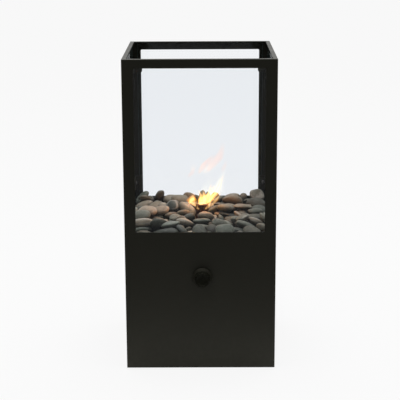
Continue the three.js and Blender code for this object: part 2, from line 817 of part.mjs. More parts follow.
function knob() {
  const gripLow = KNOB_LOW + 5.4;
  const dish = KNOB_HIGH - 0.6;
  const turnedKnob = turned([
    [0, KNOB_LOW],
    [SKIRT_RADIUS - 0.6, KNOB_LOW],
    [SKIRT_RADIUS, KNOB_LOW + 0.6],
    [SKIRT_RADIUS, KNOB_LOW + 1.6],
    [SKIRT_RADIUS - 0.8, KNOB_LOW + 2.4],
    [GRIP_RADIUS + 0.4, gripLow - 1],
    [GRIP_RADIUS, gripLow],
    [GRIP_RADIUS, KNOB_HIGH - 1],
    [GRIP_RADIUS - 1, KNOB_HIGH],
    [GRIP_RADIUS - 2.6, KNOB_HIGH],
    [GRIP_RADIUS - 3.4, dish],
    [0, dish],
  ], LARGE_SIDES);
  const tools = [rod(SHAFT_RADIUS + GAP, KNOB_LOW - SLACK, SHAFT_END + GAP)];
  const flutes = 12;
  const fluteRadius = 1.6;
  const fluteSides = 8;
  for (let flute = 0; flute < flutes; flute += 1) {
    const scoop = rod(fluteRadius, gripLow, KNOB_HIGH + SLACK, fluteSides);
    tools.push(move(scoop, GRIP_RADIUS + 0.8, 0, 0).rotate([0, 0, (flute + 0.5) * 360 / flutes]));
  }
  tools.push(box([-0.6, 3, KNOB_HIGH - 1.2], [0.6, GRIP_RADIUS + SLACK, KNOB_HIGH + SLACK]));
  const screwHole = rod(KNOB_SCREW_RADIUS + GAP, 0, GRIP_RADIUS + SLACK).rotate([90, 0, 0]);
  tools.push(move(screwHole, 0, 0, KNOB_SCREW_LEVEL));
  return cut(turnedKnob, ...tools);
}

addPart('knob', knob(), blackPlastic, control);

const knobScrew = rod(KNOB_SCREW_RADIUS, SHAFT_RADIUS + GAP, GRIP_RADIUS - 2).rotate([90, 0, 0]);
addPart('knob_screw', move(knobScrew, 0, 0, KNOB_SCREW_LEVEL), zinc, control);

export default lantern;
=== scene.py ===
"""Looks of a free-standing gas fire lantern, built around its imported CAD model.

Shapes are drawn in millimetres in the housing's own frame: x and y from the middle of the housing,
z from the floor, front towards -y. place() turns them into metres in the shared frame.
"""

import json
import math

import bmesh
import bpy
import numpy as np
from mathutils import Matrix, Vector

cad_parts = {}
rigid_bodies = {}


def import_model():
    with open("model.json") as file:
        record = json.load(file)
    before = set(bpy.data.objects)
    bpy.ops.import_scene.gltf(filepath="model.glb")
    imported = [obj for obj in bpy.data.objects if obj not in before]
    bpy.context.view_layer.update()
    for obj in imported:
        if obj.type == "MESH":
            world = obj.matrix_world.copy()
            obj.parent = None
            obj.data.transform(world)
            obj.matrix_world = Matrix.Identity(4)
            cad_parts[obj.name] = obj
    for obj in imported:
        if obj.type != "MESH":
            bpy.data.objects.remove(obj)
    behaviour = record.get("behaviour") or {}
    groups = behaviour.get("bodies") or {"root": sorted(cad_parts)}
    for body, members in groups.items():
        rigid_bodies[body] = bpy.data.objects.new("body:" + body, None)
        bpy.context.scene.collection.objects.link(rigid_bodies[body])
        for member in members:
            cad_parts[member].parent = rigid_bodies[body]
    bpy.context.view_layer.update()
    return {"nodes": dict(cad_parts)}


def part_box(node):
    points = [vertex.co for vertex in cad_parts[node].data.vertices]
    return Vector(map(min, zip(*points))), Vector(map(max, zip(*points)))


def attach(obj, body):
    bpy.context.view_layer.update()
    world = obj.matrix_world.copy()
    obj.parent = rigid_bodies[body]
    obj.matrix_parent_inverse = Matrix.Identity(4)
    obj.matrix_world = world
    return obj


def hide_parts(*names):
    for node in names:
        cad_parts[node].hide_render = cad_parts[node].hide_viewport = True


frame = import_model()

MM = 0.001

# ---------- places read from the frame ----------

front_low, front_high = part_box("front_panel")
HOUSING_LOW = Vector((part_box("left_panel")[0].x, front_low.y, front_low.z)) / MM
HOUSING_HIGH = Vector((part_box("right_panel")[1].x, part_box("rear_panel")[1].y, front_high.z)) / MM
CENTRE = Vector(((HOUSING_LOW.x + HOUSING_HIGH.x) / 2, (HOUSING_LOW.y + HOUSING_HIGH.y) / 2, 0))
HALF = (HOUSING_HIGH.x - HOUSING_LOW.x) / 2
TOP = HOUSING_HIGH.z
BASE = HOUSING_LOW.z


def node_box(node):
    """Lowest and highest corner of a CAD node, in millimetres in the housing's frame."""
    low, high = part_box(node)
    return low / MM - CENTRE, high / MM - CENTRE


def middle(node):
    low, high = node_box(node)
    return (low + high) / 2


def span(node, front=False):
    """Outer radius, lowest and highest station of a turned CAD node along its axis."""
    low, high = node_box(node)
    ends = (-high.y, -low.y) if front else (low.z, high.z)
    return (high.x - low.x) / 2, *ends


GAS_X = middle("burner_tube").x
VALVE_Z = middle("control_shaft").z
GAS_AXIS = np.array([GAS_X, 0, 0])
KNOB_AXIS = np.array([GAS_X, 0, VALVE_Z])

# ---------- sizes in millimetres that the boxes don't give ----------

SHEET = 1.5         # thickness of the housing's sheet
POST = 18           # width of the frame beside a window
BAR = 14            # height of the frame above a window
SILL = 231          # height of a window's lower edge
WINDOW_RADIUS = 2
TOP_LIP = 7         # how far the sheet is folded inwards at the top, and at the bottom
BASE_LIP = 20
FOLD = 0.9          # outer radius of a fold in the sheet
INNER_FOLD = 0.4
GAP = 0.3           # play between parts that meet
SHAFT_BORE = 3.3    # radius of the holes that the knob's shaft passes through or sits in
STEM_BORE = 5.6     # radius of the opening that takes the can's threaded stem

SIDES = ("front", "right", "rear", "left")
CORNERS = ("front_left", "front_right", "rear_right", "rear_left")


# ---------- mesh helpers ----------

def place(points):
    """Housing millimetres to shared-frame metres."""
    return (np.asarray(points, float) + np.array(CENTRE)) * MM


def add_object(name, data):
    item = bpy.data.objects.new(name, data)
    bpy.context.scene.collection.objects.link(item)
    return item


def mesh_object(name, points, faces, material):
    mesh = bpy.data.meshes.new(name)
    mesh.from_pydata([tuple(p) for p in place(points)], [], faces)
    mesh.update()
    mesh.shade_smooth()
    mesh.materials.append(material)
    return add_object(name, mesh)


def solid(name, points, faces, material):
    """A closed mesh with its double points merged and its faces turned outwards."""
    piece = mesh_object(name, points, faces, material)
    work = bmesh.new()
    work.from_mesh(piece.data)
    bmesh.ops.remove_doubles(work, verts=work.verts, dist=1e-6)
    bmesh.ops.recalc_face_normals(work, faces=work.faces)
    work.to_mesh(piece.data)
    work.free()
    return piece


def turn_quarter(points, turns):
    """Turns points about the housing's upright axis by quarter turns, anticlockwise from above."""
    angle = turns * math.pi / 2
    matrix = np.array([
        [math.cos(angle), -math.sin(angle), 0],
        [math.sin(angle), math.cos(angle), 0],
        [0, 0, 1],
    ])
    return np.asarray(points, float) @ matrix.T


def face_front(points):
    """Turns a shape drawn around +z so that it points to the front, with its +y up."""
    points = np.asarray(points, float)
    return np.column_stack([points[:, 0], -points[:, 2], points[:, 1]])


def soften(profile, radius=0.4, steps=3, closed=False):
    """Rounds the corners of a profile, which is a list of (r, z) points, with small arcs."""
    points = [np.array(p, float) for p in profile]
    count = len(points)
    result = []
    for i, point in enumerate(points):
        back, ahead = points[i - 1] - point, points[(i + 1) % count] - point
        reach_back, reach_ahead = np.linalg.norm(back), np.linalg.norm(ahead)
        back, ahead = back / reach_back, ahead / reach_ahead
        at_end = not closed and i in (0, count - 1)
        if at_end or abs(np.cross(back, ahead)) < 0.05:
            result.append(point)
            continue
        reach = min(radius, 0.45 * reach_back, 0.45 * reach_ahead)
        start, end = point + back * reach, point + ahead * reach
        for step in range(steps + 1):
            t = step / steps
            result.append((1 - t) ** 2 * start + 2 * t * (1 - t) * point + t ** 2 * end)
    return result


def lathe_mesh(profile, segments=64, radius_at=None):
    """Points and faces of a profile turned about +z. It starts and ends on the axis, or is closed.

    radius_at(r, z, angle) may change a point's radius, for flutes and knurls.
    """
    rings, points, faces = [], [], []
    for r, z in profile:
        count = segments if r > 1e-9 else 1
        rings.append([len(points) + k for k in range(count)])
        for k in range(count):
            angle = 2 * math.pi * k / segments
            radius = radius_at(r, z, angle) if radius_at else r
            points.append((radius * math.cos(angle), radius * math.sin(angle), z))
    closing = [rings[0]] if profile[0][0] > 1e-9 else []
    for lower, upper in zip(rings, rings[1:] + closing):
        for k in range(segments):
            corners = ((lower, k), (lower, k + 1), (upper, k + 1), (upper, k))
            face = tuple(dict.fromkeys(ring[j % len(ring)] for ring, j in corners))
            if len(face) > 2:
                faces.append(face)
    return np.array(points), faces


def ring_quads(rings, count):
    """Quads between rings of count points each, as (a, b, b above, a above)."""
    faces = []
    for start in range(0, (rings - 1) * count, count):
        for k in range(count):
            a, b = start + k, start + (k + 1) % count
            faces.append((a, b, b + count, a + count))
    return faces


def smooth_by_angle(piece, degrees=35):
    """Marks edges sharper than this as sharp, so that flat and round faces shade as they should."""
    work = bmesh.new()
    work.from_mesh(piece.data)
    limit = math.radians(degrees)
    for edge in work.edges:
        if len(edge.link_faces) == 2:
            edge.smooth = edge.calc_face_angle(0) < limit
    for face in work.faces:
        face.smooth = True
    work.to_mesh(piece.data)
    work.free()


def modify(piece, kind, **settings):
    """Replaces a piece's mesh by what one modifier makes of it."""
    modifier = piece.modifiers.new(kind, kind)
    for key, value in settings.items():
        setattr(modifier, key, value)
    graph = bpy.context.evaluated_depsgraph_get()
    mesh = bpy.data.meshes.new_from_object(piece.evaluated_get(graph), depsgraph=graph)
    piece.modifiers.clear()
    piece.data = mesh


def bevel(piece, width, segments=2, degrees=40):
    """Rounds sharp edges, width in millimetres. Large flat faces keep their own normals beside them."""
    modify(piece, "BEVEL", width=width * MM, segments=segments, limit_method="ANGLE",
           angle_limit=math.radians(degrees), use_clamp_overlap=True)
    smooth_by_angle(piece, 50)
    modify(piece, "WEIGHTED_NORMAL", keep_sharp=True, weight=100)


def combine(piece, tool, operation="DIFFERENCE"):
    """Cuts a tool out of a piece, or joins it to the piece, and removes the tool."""
    modify(piece, "BOOLEAN", operation=operation, solver="EXACT", object=tool)
    bpy.data.objects.remove(tool)


def finish_piece(piece, *nodes, body="root"):
    """Puts a piece on its body and hides the CAD nodes it stands for."""
    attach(piece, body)
    if nodes:
        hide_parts(*nodes)
    return piece


def prism_mesh(outline, low, high):
    """A flat outline of (x, y) points raised from one height to another."""
    count = len(outline)
    points = [(x, y, low) for x, y in outline] + [(x, y, high) for x, y in outline]
    faces = [tuple(range(count))[::-1], tuple(range(count, 2 * count))]
    for k in range(count):
        nxt = (k + 1) % count
        faces.append((k, nxt, count + nxt, count + k))
    return np.array(points), faces


def rounded_rectangle(x0, x1, y0, y1, radius, steps=6):
    centres = [(x1 - radius, y0 + radius, -90), (x1 - radius, y1 - radius, 0),
               (x0 + radius, y1 - radius, 90), (x0 + radius, y0 + radius, 180)]
    outline = []
    for x, y, start in centres:
        for step in range(steps + 1):
            angle = math.radians(start + 90 * step / steps)
            outline.append((x + radius * math.cos(angle), y + radius * math.sin(angle)))
    return outline


# ---------- material helpers ----------

class Shader:
    """A material or world under construction, with short calls for its nodes."""

    def __init__(self, name, world=False):
        self.owner = (bpy.data.worlds if world else bpy.data.materials).new(name)
        self.owner.use_nodes = True
        self.tree = self.owner.node_tree
        self.tree.nodes.clear()
        self.output = self.tree.nodes.new("ShaderNodeOutputWorld" if world else "ShaderNodeOutputMaterial")
        self.coordinates = None

    def feed(self, socket, value):
        """Links a source to a socket, or sets the socket's own value; a colour is given as (r, g, b)."""
        if isinstance(value, bpy.types.NodeSocket):
            self.tree.links.new(value, socket)
        else:
            socket.default_value = (*value, 1) if socket.type == "RGBA" else value

    def node(self, kind, **settings):
        """A node; each setting names one of its properties or, with _ for a space, one of its inputs."""
        made = self.tree.nodes.new(kind)
        for key, value in settings.items():
            if hasattr(made, key):
                setattr(made, key, value)
            else:
                self.feed(made.inputs[key.replace("_", " ")], value)
        return made

    def finish(self, source, output="Surface"):
        self.feed(self.output.inputs[output], source)
        return self.owner

    def principled(self, **settings):
        return self.finish(self.node("ShaderNodeBsdfPrincipled", **settings).outputs["BSDF"])

    def place(self):
        """The coordinates that textures follow: the object's, unless others have been set."""
        if self.coordinates is None:
            self.coordinates = self.node("ShaderNodeTexCoord").outputs["Object"]
        return self.coordinates

    def noise(self, scale, detail=3.0, roughness=0.5, vector=None, distortion=0.0):
        """Noise whose features are about 1000 / scale millimetres across."""
        return self.node("ShaderNodeTexNoise", Scale=scale, Detail=detail, Roughness=roughness,
                         Distortion=distortion, Vector=vector or self.place()).outputs["Fac"]

    def remap(self, value, low, high, to_low, to_high, interpolation="LINEAR"):
        made = self.node("ShaderNodeMapRange", interpolation_type=interpolation, Value=value,
                         From_Min=low, From_Max=high, To_Min=to_low, To_Max=to_high)
        return made.outputs["Result"]

    def vary(self, low, high, *noise, **settings):
        """A number that wanders between two values."""
        return self.remap(self.noise(*noise, **settings), 0.3, 0.7, low, high)

    def ramp(self, value, stops):
        made = self.node("ShaderNodeValToRGB", Fac=value)
        elements = made.color_ramp.elements
        while len(elements) < len(stops):
            elements.new(0.5)
        for element, (position, color) in zip(elements, stops):
            element.position = position
            element.color = (*color, 1)
        return made.outputs["Color"]

    def grey(self, value):
        """A number as a grey colour."""
        return self.ramp(value, [(0.0, (0, 0, 0)), (1.0, (1, 1, 1))])

    def mix(self, factor, first, second, blend="MIX"):
        made = self.node("ShaderNodeMix", data_type="RGBA", blend_type=blend)
        for number, value in ((0, factor), (6, first), (7, second)):
            self.feed(made.inputs[number], value)
        return made.outputs[2]

    def math(self, operation, first, second):
        made = self.node("ShaderNodeMath", operation=operation)
        self.feed(made.inputs[0], first)
        self.feed(made.inputs[1], second)
        return made.outputs[0]

    def blend(self, factor, first, second):
        """A mix of two shader nodes."""
        made = self.node("ShaderNodeMixShader", Fac=factor)
        self.feed(made.inputs[1], first.outputs[0])
        self.feed(made.inputs[2], second.outputs[0])
        return made

    def bump(self, height, strength, distance, normal=None):
        """A bump on top of another; distance is in millimetres."""
        settings = {} if normal is None else {"Normal": normal}
        return self.node("ShaderNodeBump", Strength=strength, Distance=distance * MM, Height=height,
                         **settings).outputs["Normal"]

    def separate(self, vector):
        return self.node("ShaderNodeSeparateXYZ", Vector=vector).outputs

    def attribute(self, name, output="Vector"):
        return self.node("ShaderNodeAttribute", attribute_name=name).outputs[output]


WARM_SHEEN = (1.0, 0.985, 0.84)     # tint of the sheen on black paint, plastic and rubber


def powder_coat():
    """Satin black powder coat: fine orange peel, a little dust low down and faint handling marks."""
    s = Shader("powder_coat")
    height = s.separate(s.place())[2]
    dust = s.math("MULTIPLY", s.remap(height, 0.0, 0.09, 1.0, 0.0),
                  s.remap(s.noise(160, 5), 0.35, 0.75, 0.0, 1.0))
    black = s.mix(s.noise(14, 4), (0.0056, 0.0054, 0.0034), (0.0082, 0.0079, 0.0052))
    dusty = s.mix(s.math("MULTIPLY", dust, 0.03), black, (0.16, 0.15, 0.13))
    speckle = s.remap(s.noise(2600, 1), 0.66, 0.74, 0.0, 0.35)
    marks = s.vary(-0.05, 0.05, 55, 6, 0.65, distortion=0.6)
    peel = s.bump(s.noise(850, 2), 0.10, 0.10)
    return s.principled(
        Specular_IOR_Level=0.34, Specular_Tint=WARM_SHEEN,
        Base_Color=s.mix(speckle, dusty, (0.014, 0.013, 0.010)),
        Roughness=s.math("ADD", s.math("ADD", marks, 0.50), s.math("MULTIPLY", dust, 0.05)),
        Normal=s.bump(s.noise(2800, 1), 0.08, 0.03, peel),
    )


def metal(name, dark, light, rough_low, rough_high, grain=(1, 1, 1), tarnish=None):
    """A bare or plated metal: cloudy colour, streaked roughness along one axis, fine scratches."""
    s = Shader(name)
    color = s.mix(s.noise(90, 4), dark, light)
    if tarnish is not None:
        spots = s.remap(s.noise(70, 6, 0.62), 0.52, 0.72, 0.0, 0.75)
        color = s.mix(spots, color, tarnish)
    stretch = s.node("ShaderNodeMapping", Vector=s.place(), Scale=grain)
    streaks = s.noise(700, 4, vector=stretch.outputs["Vector"])
    return s.principled(Metallic=1.0, Base_Color=color, Normal=s.bump(streaks, 0.12, 0.04),
                        Roughness=s.remap(streaks, 0.3, 0.7, rough_low, rough_high))


def plastic(name, color, roughness, texture=0.12, specular=0.4):
    """Moulded black plastic or rubber with a fine spark-eroded texture."""
    s = Shader(name)
    lighter = tuple(c * 1.7 for c in color)
    return s.principled(
        Specular_IOR_Level=specular, Specular_Tint=WARM_SHEEN,
        Base_Color=s.mix(s.noise(120, 4), color, lighter),
        Roughness=s.vary(roughness - 0.07, roughness + 0.07, 400, 3),
        Normal=s.bump(s.noise(2200, 2), texture, 0.05),
    )


def pane_glass():
    """Thin clear glass: tinted see-through with a mirror coat that grows at grazing angles."""
    s = Shader("pane_glass")
    clear = s.node("ShaderNodeBsdfTransparent", Color=(0.979, 0.987, 0.996))
    smears = s.noise(60, 5, 0.6, distortion=0.8)
    mirror = s.node("ShaderNodeBsdfGlossy", Color=(0.9, 0.95, 1.0),
                    Roughness=s.remap(smears, 0.45, 0.75, 0.008, 0.05))
    facing = s.node("ShaderNodeLayerWeight", Blend=0.5).outputs["Facing"]
    rise = s.math("MULTIPLY", s.math("POWER", facing, 5.0), 0.80)
    return s.finish(s.blend(s.math("ADD", rise, 0.020), clear, mirror).outputs[0])


def glass_edge():
    """The ground edge of a pane: grey-green and frosted."""
    s = Shader("glass_edge")
    return s.principled(Roughness=0.5, Normal=s.bump(s.noise(1500, 3), 0.3, 0.08),
                        Base_Color=s.mix(s.noise(300, 3), (0.018, 0.034, 0.030), (0.040, 0.065, 0.058)))


def river_stone():
    """Tumbled river stone.

    The attribute stone_tint holds each stone's own shade, warmth and banding, and stone_rest the
    stone's own coordinates, so that bands and mottling follow the stone. A third attribute, each
    point's depth in the bed, paints shade into the stones down in the gaps between them.
    """
    s = Shader("river_stone")
    own_shade, warmth, banding = s.separate(s.attribute("stone_tint"))
    s.coordinates = s.attribute("stone_rest")
    shade = s.ramp(own_shade, [
        (0.00, (0.036, 0.041, 0.034)),
        (0.25, (0.075, 0.080, 0.063)),
        (0.55, (0.128, 0.126, 0.097)),
        (0.80, (0.198, 0.186, 0.150)),
        (1.00, (0.340, 0.315, 0.262)),
    ])
    color = s.mix(1.0, shade, s.mix(warmth, (0.80, 0.92, 0.90), (1.30, 1.00, 0.80)), "MULTIPLY")
    mottle = s.remap(s.noise(110, 5, 0.6, distortion=0.5), 0.25, 0.75, 0.60, 1.35)
    color = s.mix(1.0, color, s.grey(mottle), "MULTIPLY")
    wave = s.node("ShaderNodeTexWave", wave_type="BANDS", bands_direction="Z", Scale=42, Distortion=5,
                  Detail=3, Detail_Scale=1.5, Vector=s.place())
    band = s.math("MULTIPLY", s.remap(wave.outputs["Fac"], 0.55, 0.95, 0.0, 0.6), banding)
    color = s.mix(band, color, (0.30, 0.28, 0.24))
    color = s.mix(1.0, color, s.grey(s.vary(0.72, 1.22, 380, 3, 0.6)), "MULTIPLY")
    grains = s.remap(s.noise(1500, 2), 0.35, 0.65, 0.0, 1.0)
    color = s.mix(s.math("MULTIPLY", grains, 0.30), color, (0.06, 0.06, 0.055))
    # painted shade: the deeper a point lies in the bed, the nearer its colour goes to near-black, standing
    # in for the shade in the gaps between stones
    painted_gap_shade = s.math("MULTIPLY", s.attribute("stone_gap_shade_depth", "Fac"), 0.92)
    coarse = s.bump(s.noise(260, 4, 0.6), 0.35, 0.35)
    return s.principled(
        Specular_IOR_Level=0.35,
        Base_Color=s.mix(painted_gap_shade, color, (0.010, 0.009, 0.007)),
        Roughness=s.vary(0.52, 0.74, 220, 4),
        Normal=s.bump(s.noise(1300, 3), 0.25, 0.08, coarse),
    )


def scorched_steel():
    """Burner steel that has been red hot many times: brown and blue-black scale."""
    s = Shader("scorched_steel")
    color = s.ramp(s.noise(140, 6, 0.65, distortion=0.7), [
        (0.25, (0.018, 0.013, 0.016)),
        (0.45, (0.085, 0.031, 0.018)),
        (0.60, (0.150, 0.058, 0.034)),
        (0.80, (0.210, 0.110, 0.075)),
    ])
    return s.principled(Metallic=0.7, Base_Color=color, Normal=s.bump(s.noise(900, 4), 0.4, 0.12),
                        Roughness=s.vary(0.45, 0.8, 500, 4))


def can_paint():
    """Printed steel can: plain blue enamel over steel, with a bare rim and shoulder."""
    s = Shader("can_paint")
    blue = s.mix(s.noise(30, 3), (0.025, 0.105, 0.20), (0.035, 0.13, 0.24))
    bare = s.mix(s.noise(200, 4), (0.42, 0.42, 0.42), (0.55, 0.55, 0.54))
    ragged = s.remap(s.noise(300, 3), 0.0, 1.0, -0.0004, 0.0004)
    edge = s.math("ADD", s.separate(s.place())[2], ragged)
    paint_top, paint_low, fade = 0.1065, 0.0405, 0.0006     # metres above the floor
    above = s.remap(edge, paint_top, paint_top + fade, 0.0, 1.0)
    below = s.remap(edge, paint_low, paint_low - fade, 0.0, 1.0)
    return s.principled(
        Metallic=0.25, Base_Color=s.mix(s.math("MAXIMUM", above, below), blue, bare),
        Roughness=s.vary(0.24, 0.38, 90, 5), Normal=s.bump(s.noise(35, 2), 0.08, 0.3),
    )


COAT = powder_coat()
GLASS = pane_glass()
GLASS_EDGE = glass_edge()
STONE = river_stone()
SCORCHED = scorched_steel()
CAN_PAINT = can_paint()
ZINC = metal("zinc_plate", (0.40, 0.41, 0.43), (0.58, 0.58, 0.57), 0.28, 0.50, (1, 1, 0.2),
             (0.30, 0.29, 0.27))
BLACK_ZINC = metal("black_zinc", (0.11, 0.11, 0.105), (0.17, 0.165, 0.155), 0.35, 0.55)
STAINLESS = metal("stainless", (0.42, 0.41, 0.39), (0.56, 0.55, 0.53), 0.25, 0.45, (1, 0.1, 1))
BRASS = metal("brass", (0.45, 0.30, 0.10), (0.62, 0.44, 0.18), 0.25, 0.45, (1, 1, 0.3), (0.22, 0.14, 0.06))
# the knob is one black plastic in two copies: a darker one on grip, face and pointer is painted shade, a
# lighter one on the skirt is painted light
KNOB_SHADED_PLASTIC = plastic("knob_plastic_painted_shade", (0.0040, 0.0041, 0.0025), 0.50, specular=0.09)
SKIRT_LIT_PLASTIC = plastic("knob_skirt_plastic_painted_light", (0.0080, 0.0078, 0.0053), 0.55, specular=0.13)
BLACK_PLASTIC = plastic("black_plastic", (0.012, 0.012, 0.012), 0.5)
RUBBER = plastic("black_rubber", (0.010, 0.010, 0.010), 0.8, 0.3)


# ---------- housing ----------

def arc(cx, cz, radius, start, end, steps=4):
    """Points (d, z) on an arc, from angle to angle in degrees: 0 is towards +d, and 90 is up."""
    angles = [math.radians(start + (end - start) * k / steps) for k in range(steps + 1)]
    return [(cx + radius * math.cos(a), cz + radius * math.sin(a)) for a in angles]


def sheet_section():
    """Section of the folded sheet: (distance in from the outer face, height), once around."""
    inner = SHEET + INNER_FOLD
    return (
        [(TOP_LIP, TOP)]
        + arc(FOLD, TOP - FOLD, FOLD, 90, 180)
        + arc(FOLD, BASE + FOLD, FOLD, 180, 270)
        + [(BASE_LIP, BASE), (BASE_LIP, BASE + SHEET)]
        + arc(inner, BASE + inner, INNER_FOLD, 270, 180)
        + arc(inner, TOP - inner, INNER_FOLD, 180, 90)
        + [(TOP_LIP, TOP - SHEET)]
    )


def square_path(inset, steps=5):
    """Plan of the housing's outer face moved inwards, with rounded upright edges."""
    radius = max(FOLD - inset, 0.02)
    reach = HALF - inset
    return rounded_rectangle(-reach, reach, -reach, reach, radius, steps)


def housing_shell():
    """Four walls in one folded sheet, with a window in each and a hole for the knob's shaft."""
    points, rings = [], []
    for inset, height in sheet_section():
        path = square_path(inset)
        rings.append([len(points) + k for k in range(len(path))])
        points.extend((x, y, height) for x, y in path)
    faces = []
    for lower, upper in zip(rings, rings[1:] + rings[:1]):
        count = len(lower)
        for k in range(count):
            nxt = (k + 1) % count
            faces.append((lower[k], upper[k], upper[nxt], lower[nxt]))
    shell = solid("housing_shell", points, faces, COAT)
    edge = HALF - POST
    window = rounded_rectangle(-edge, edge, SILL, TOP - BAR, WINDOW_RADIUS)
    points, faces = prism_mesh(window, -HALF - 1, HALF + 1)
    for turns in (0, 1):
        combine(shell, solid("windows", turn_quarter(face_front(points), turns), faces, COAT))
    bore = span("panel_bush", True)[0] * 0.7
    inside, outside = HALF - SHEET - 1, HALF + 1
    points, faces = lathe_mesh([(0, inside), (bore, inside), (bore, outside), (0, outside)])
    combine(shell, solid("shaft_hole", face_front(points) + KNOB_AXIS, faces, COAT))
    bevel(shell, 0.3)
    finish_piece(shell, *(f"{side}_panel" for side in SIDES))


housing_shell()


# ---------- glass panes ----------

PANE_RADIUS = 3
GROUND_EDGE = 0.35


def glass_pane(side, turns):
    """A pane drawn at the front and turned to its side, with ground edges in their own material."""
    low, high = node_box("front_glass")
    outline = rounded_rectangle(low.x, high.x, low.z, high.z, PANE_RADIUS)
    points, faces = prism_mesh(outline, -high.y, -low.y)
    pane = solid(f"{side}_pane", turn_quarter(face_front(points), turns), faces, GLASS)
    pane.data.materials.append(GLASS_EDGE)
    bevel(pane, GROUND_EDGE, 1)
    for face in pane.data.polygons:
        flat = abs(face.normal.x) if turns % 2 else abs(face.normal.y)
        face.material_index = 0 if flat > 0.99 else 1
    finish_piece(pane, f"{side}_glass")


for turns, side in enumerate(SIDES):
    glass_pane(side, turns)


# ---------- corner clips and screws ----------

CLIP_SHEET = 1.2
CLIP_BEND = 2.0     # outer radius of the clip's bend
CLIP_END = 3.5      # radius of the corners at the ends of its arms


def clip_strip(arm, height):
    """One arm laid flat: (distance along it from the bend, half of its height there)."""
    columns = [(k / 4 * (arm - CLIP_END), height / 2) for k in range(5)]
    for step in range(1, 9):
        angle = step / 8 * math.pi / 2
        reach = arm - CLIP_END + CLIP_END * math.sin(angle)
        columns.append((reach, height / 2 - CLIP_END * (1 - math.cos(angle))))
    return columns


def corner_clip(name, corner, turns, level):
    """A bent spring clip drawn in the front left corner: two arms that lie on two panes."""
    low, high = node_box(f"glass_clip_front_left_{level}")
    outer = np.array([low.x, low.y])
    height = high.z - low.z
    middle_z = (low.z + high.z) / 2
    columns = clip_strip(high.x - low.x - CLIP_BEND, height)
    path = [(np.array([0, CLIP_BEND + reach]), np.array([1.0, 0.0]), half)
            for reach, half in reversed(columns)]
    for step in range(1, 6):
        angle = math.pi + step / 6 * math.pi / 2
        out = np.array([math.cos(angle), math.sin(angle)])
        path.append((np.array([CLIP_BEND, CLIP_BEND]) + CLIP_BEND * out, -out, height / 2))
    path += [(np.array([CLIP_BEND + reach, 0]), np.array([0.0, 1.0]), half) for reach, half in columns]
    points = []
    for spot, inward, half in path:
        near = outer + spot
        far = near + inward * CLIP_SHEET
        half = max(half, 0.01)
        for xy, z in ((near, -half), (far, -half), (far, half), (near, half)):
            points.append((xy[0], xy[1], middle_z + z))
    last = 4 * (len(path) - 1)
    faces = ring_quads(len(path), 4) + [(3, 2, 1, 0), (last, last + 1, last + 2, last + 3)]
    clip = solid(name, turn_quarter(points, turns), faces, COAT)
    bevel(clip, 0.25)
    finish_piece(clip, f"glass_clip_{corner}_{level}")


def thread(root, crest, start, pitch, turns):
    """Profile of a screw thread, drawn as one ridge for each turn."""
    profile = []
    for k in range(turns):
        z = start + k * pitch
        profile += [(root, z), (crest, z + pitch / 2)]
    return profile


def screw_mesh(head_radius, head_height, shank_radius, length, material):
    """A pan-head screw along +z with its head's underside at z = 0, and a cross recess."""
    dome = [(head_radius * math.cos(a), -head_height * (0.35 + 0.65 * math.sin(a)))
            for a in (math.radians(d) for d in (78, 60, 42, 25, 10, 0))]
    pitch = 0.8
    profile = (
        [(0, -head_height)] + dome + [(head_radius, 0), (shank_radius, 0)]
        + thread(shank_radius * 0.86, shank_radius, 0.6, pitch, int((length - 1) / pitch))
        + [(shank_radius * 0.7, length), (0, length)]
    )
    screw = solid("screw", *lathe_mesh(profile, 28), material)
    arm, slit = head_radius * 0.55, head_radius * 0.13
    for width, depth in ((arm, slit), (slit, arm)):
        outline = [(-width, -depth), (width, -depth), (width, depth), (-width, depth)]
        recess = prism_mesh(outline, -head_height - 1, -head_height * 0.45)
        combine(screw, solid("recess", *recess, material))
    smooth_by_angle(screw, 32)
    mesh = screw.data
    bpy.data.objects.remove(screw)
    return mesh


def add_screw(name, mesh, transform, node):
    """A copy of a screw's mesh, moved by a matrix given in housing millimetres."""
    copy = mesh.copy()
    to_metres = Matrix.Translation(CENTRE * MM) @ Matrix.Scale(MM, 4)
    copy.transform(to_metres @ transform @ to_metres.inverted())
    finish_piece(add_object(name, copy), node)


CLIP_HEAD = 2.0     # heights of the two kinds of screw head
FLOOR_HEAD = 2.4

CLIP_SCREW = screw_mesh(2.8, CLIP_HEAD, 1.5, 6.6 - CLIP_HEAD + 0.3, BLACK_ZINC)
for turns, corner in enumerate(CORNERS):
    for level in ("lower", "upper"):
        corner_clip(f"clip_{corner}_{level}", corner, turns, level)
        low, high = node_box(f"clip_screw_front_left_{level}")
        seat = Vector(((low.x + high.x) / 2, high.y - CLIP_HEAD, (low.z + high.z) / 2))
        local = Matrix.Translation(seat) @ Matrix.Rotation(math.pi / 2, 4, "X")
        add_screw(f"screw_{corner}_{level}", CLIP_SCREW,
                  Matrix.Rotation(turns * math.pi / 2, 4, "Z") @ local, f"clip_screw_{corner}_{level}")

FLOOR_SCREW = screw_mesh(3.8, FLOOR_HEAD, 2.0, 10, ZINC)
for node in [f"tray_screw_{side}" for side in SIDES] + ["strap_screw_left", "strap_screw_right"]:
    low, high = node_box(node)
    seat = Vector(((low.x + high.x) / 2, (low.y + high.y) / 2, high.z - FLOOR_HEAD))
    upright = Matrix.Translation(seat) @ Matrix.Rotation(math.pi, 4, "X")
    add_screw(f"{node}_visual", FLOOR_SCREW, upright, node)


# ---------- turned pieces ----------

def turned(name, profile, material, radius=0.4, segments=64, radius_at=None, front=False, axis=GAS_AXIS):
    """A solid turned around an upright axis or, if front, around the knob's axis."""
    closed = profile[0][0] > 1e-9
    points, faces = lathe_mesh(soften(profile, radius, closed=closed), segments, radius_at)
    points = face_front(points) + KNOB_AXIS if front else points + axis
    return solid(name, points, faces, material)


def turned_piece(name, node, profile, material, body="root", **settings):
    """A turned solid that stands for a CAD node."""
    piece = turned(name, profile, material, **settings)
    smooth_by_angle(piece, 40)
    return finish_piece(piece, node, body=body)


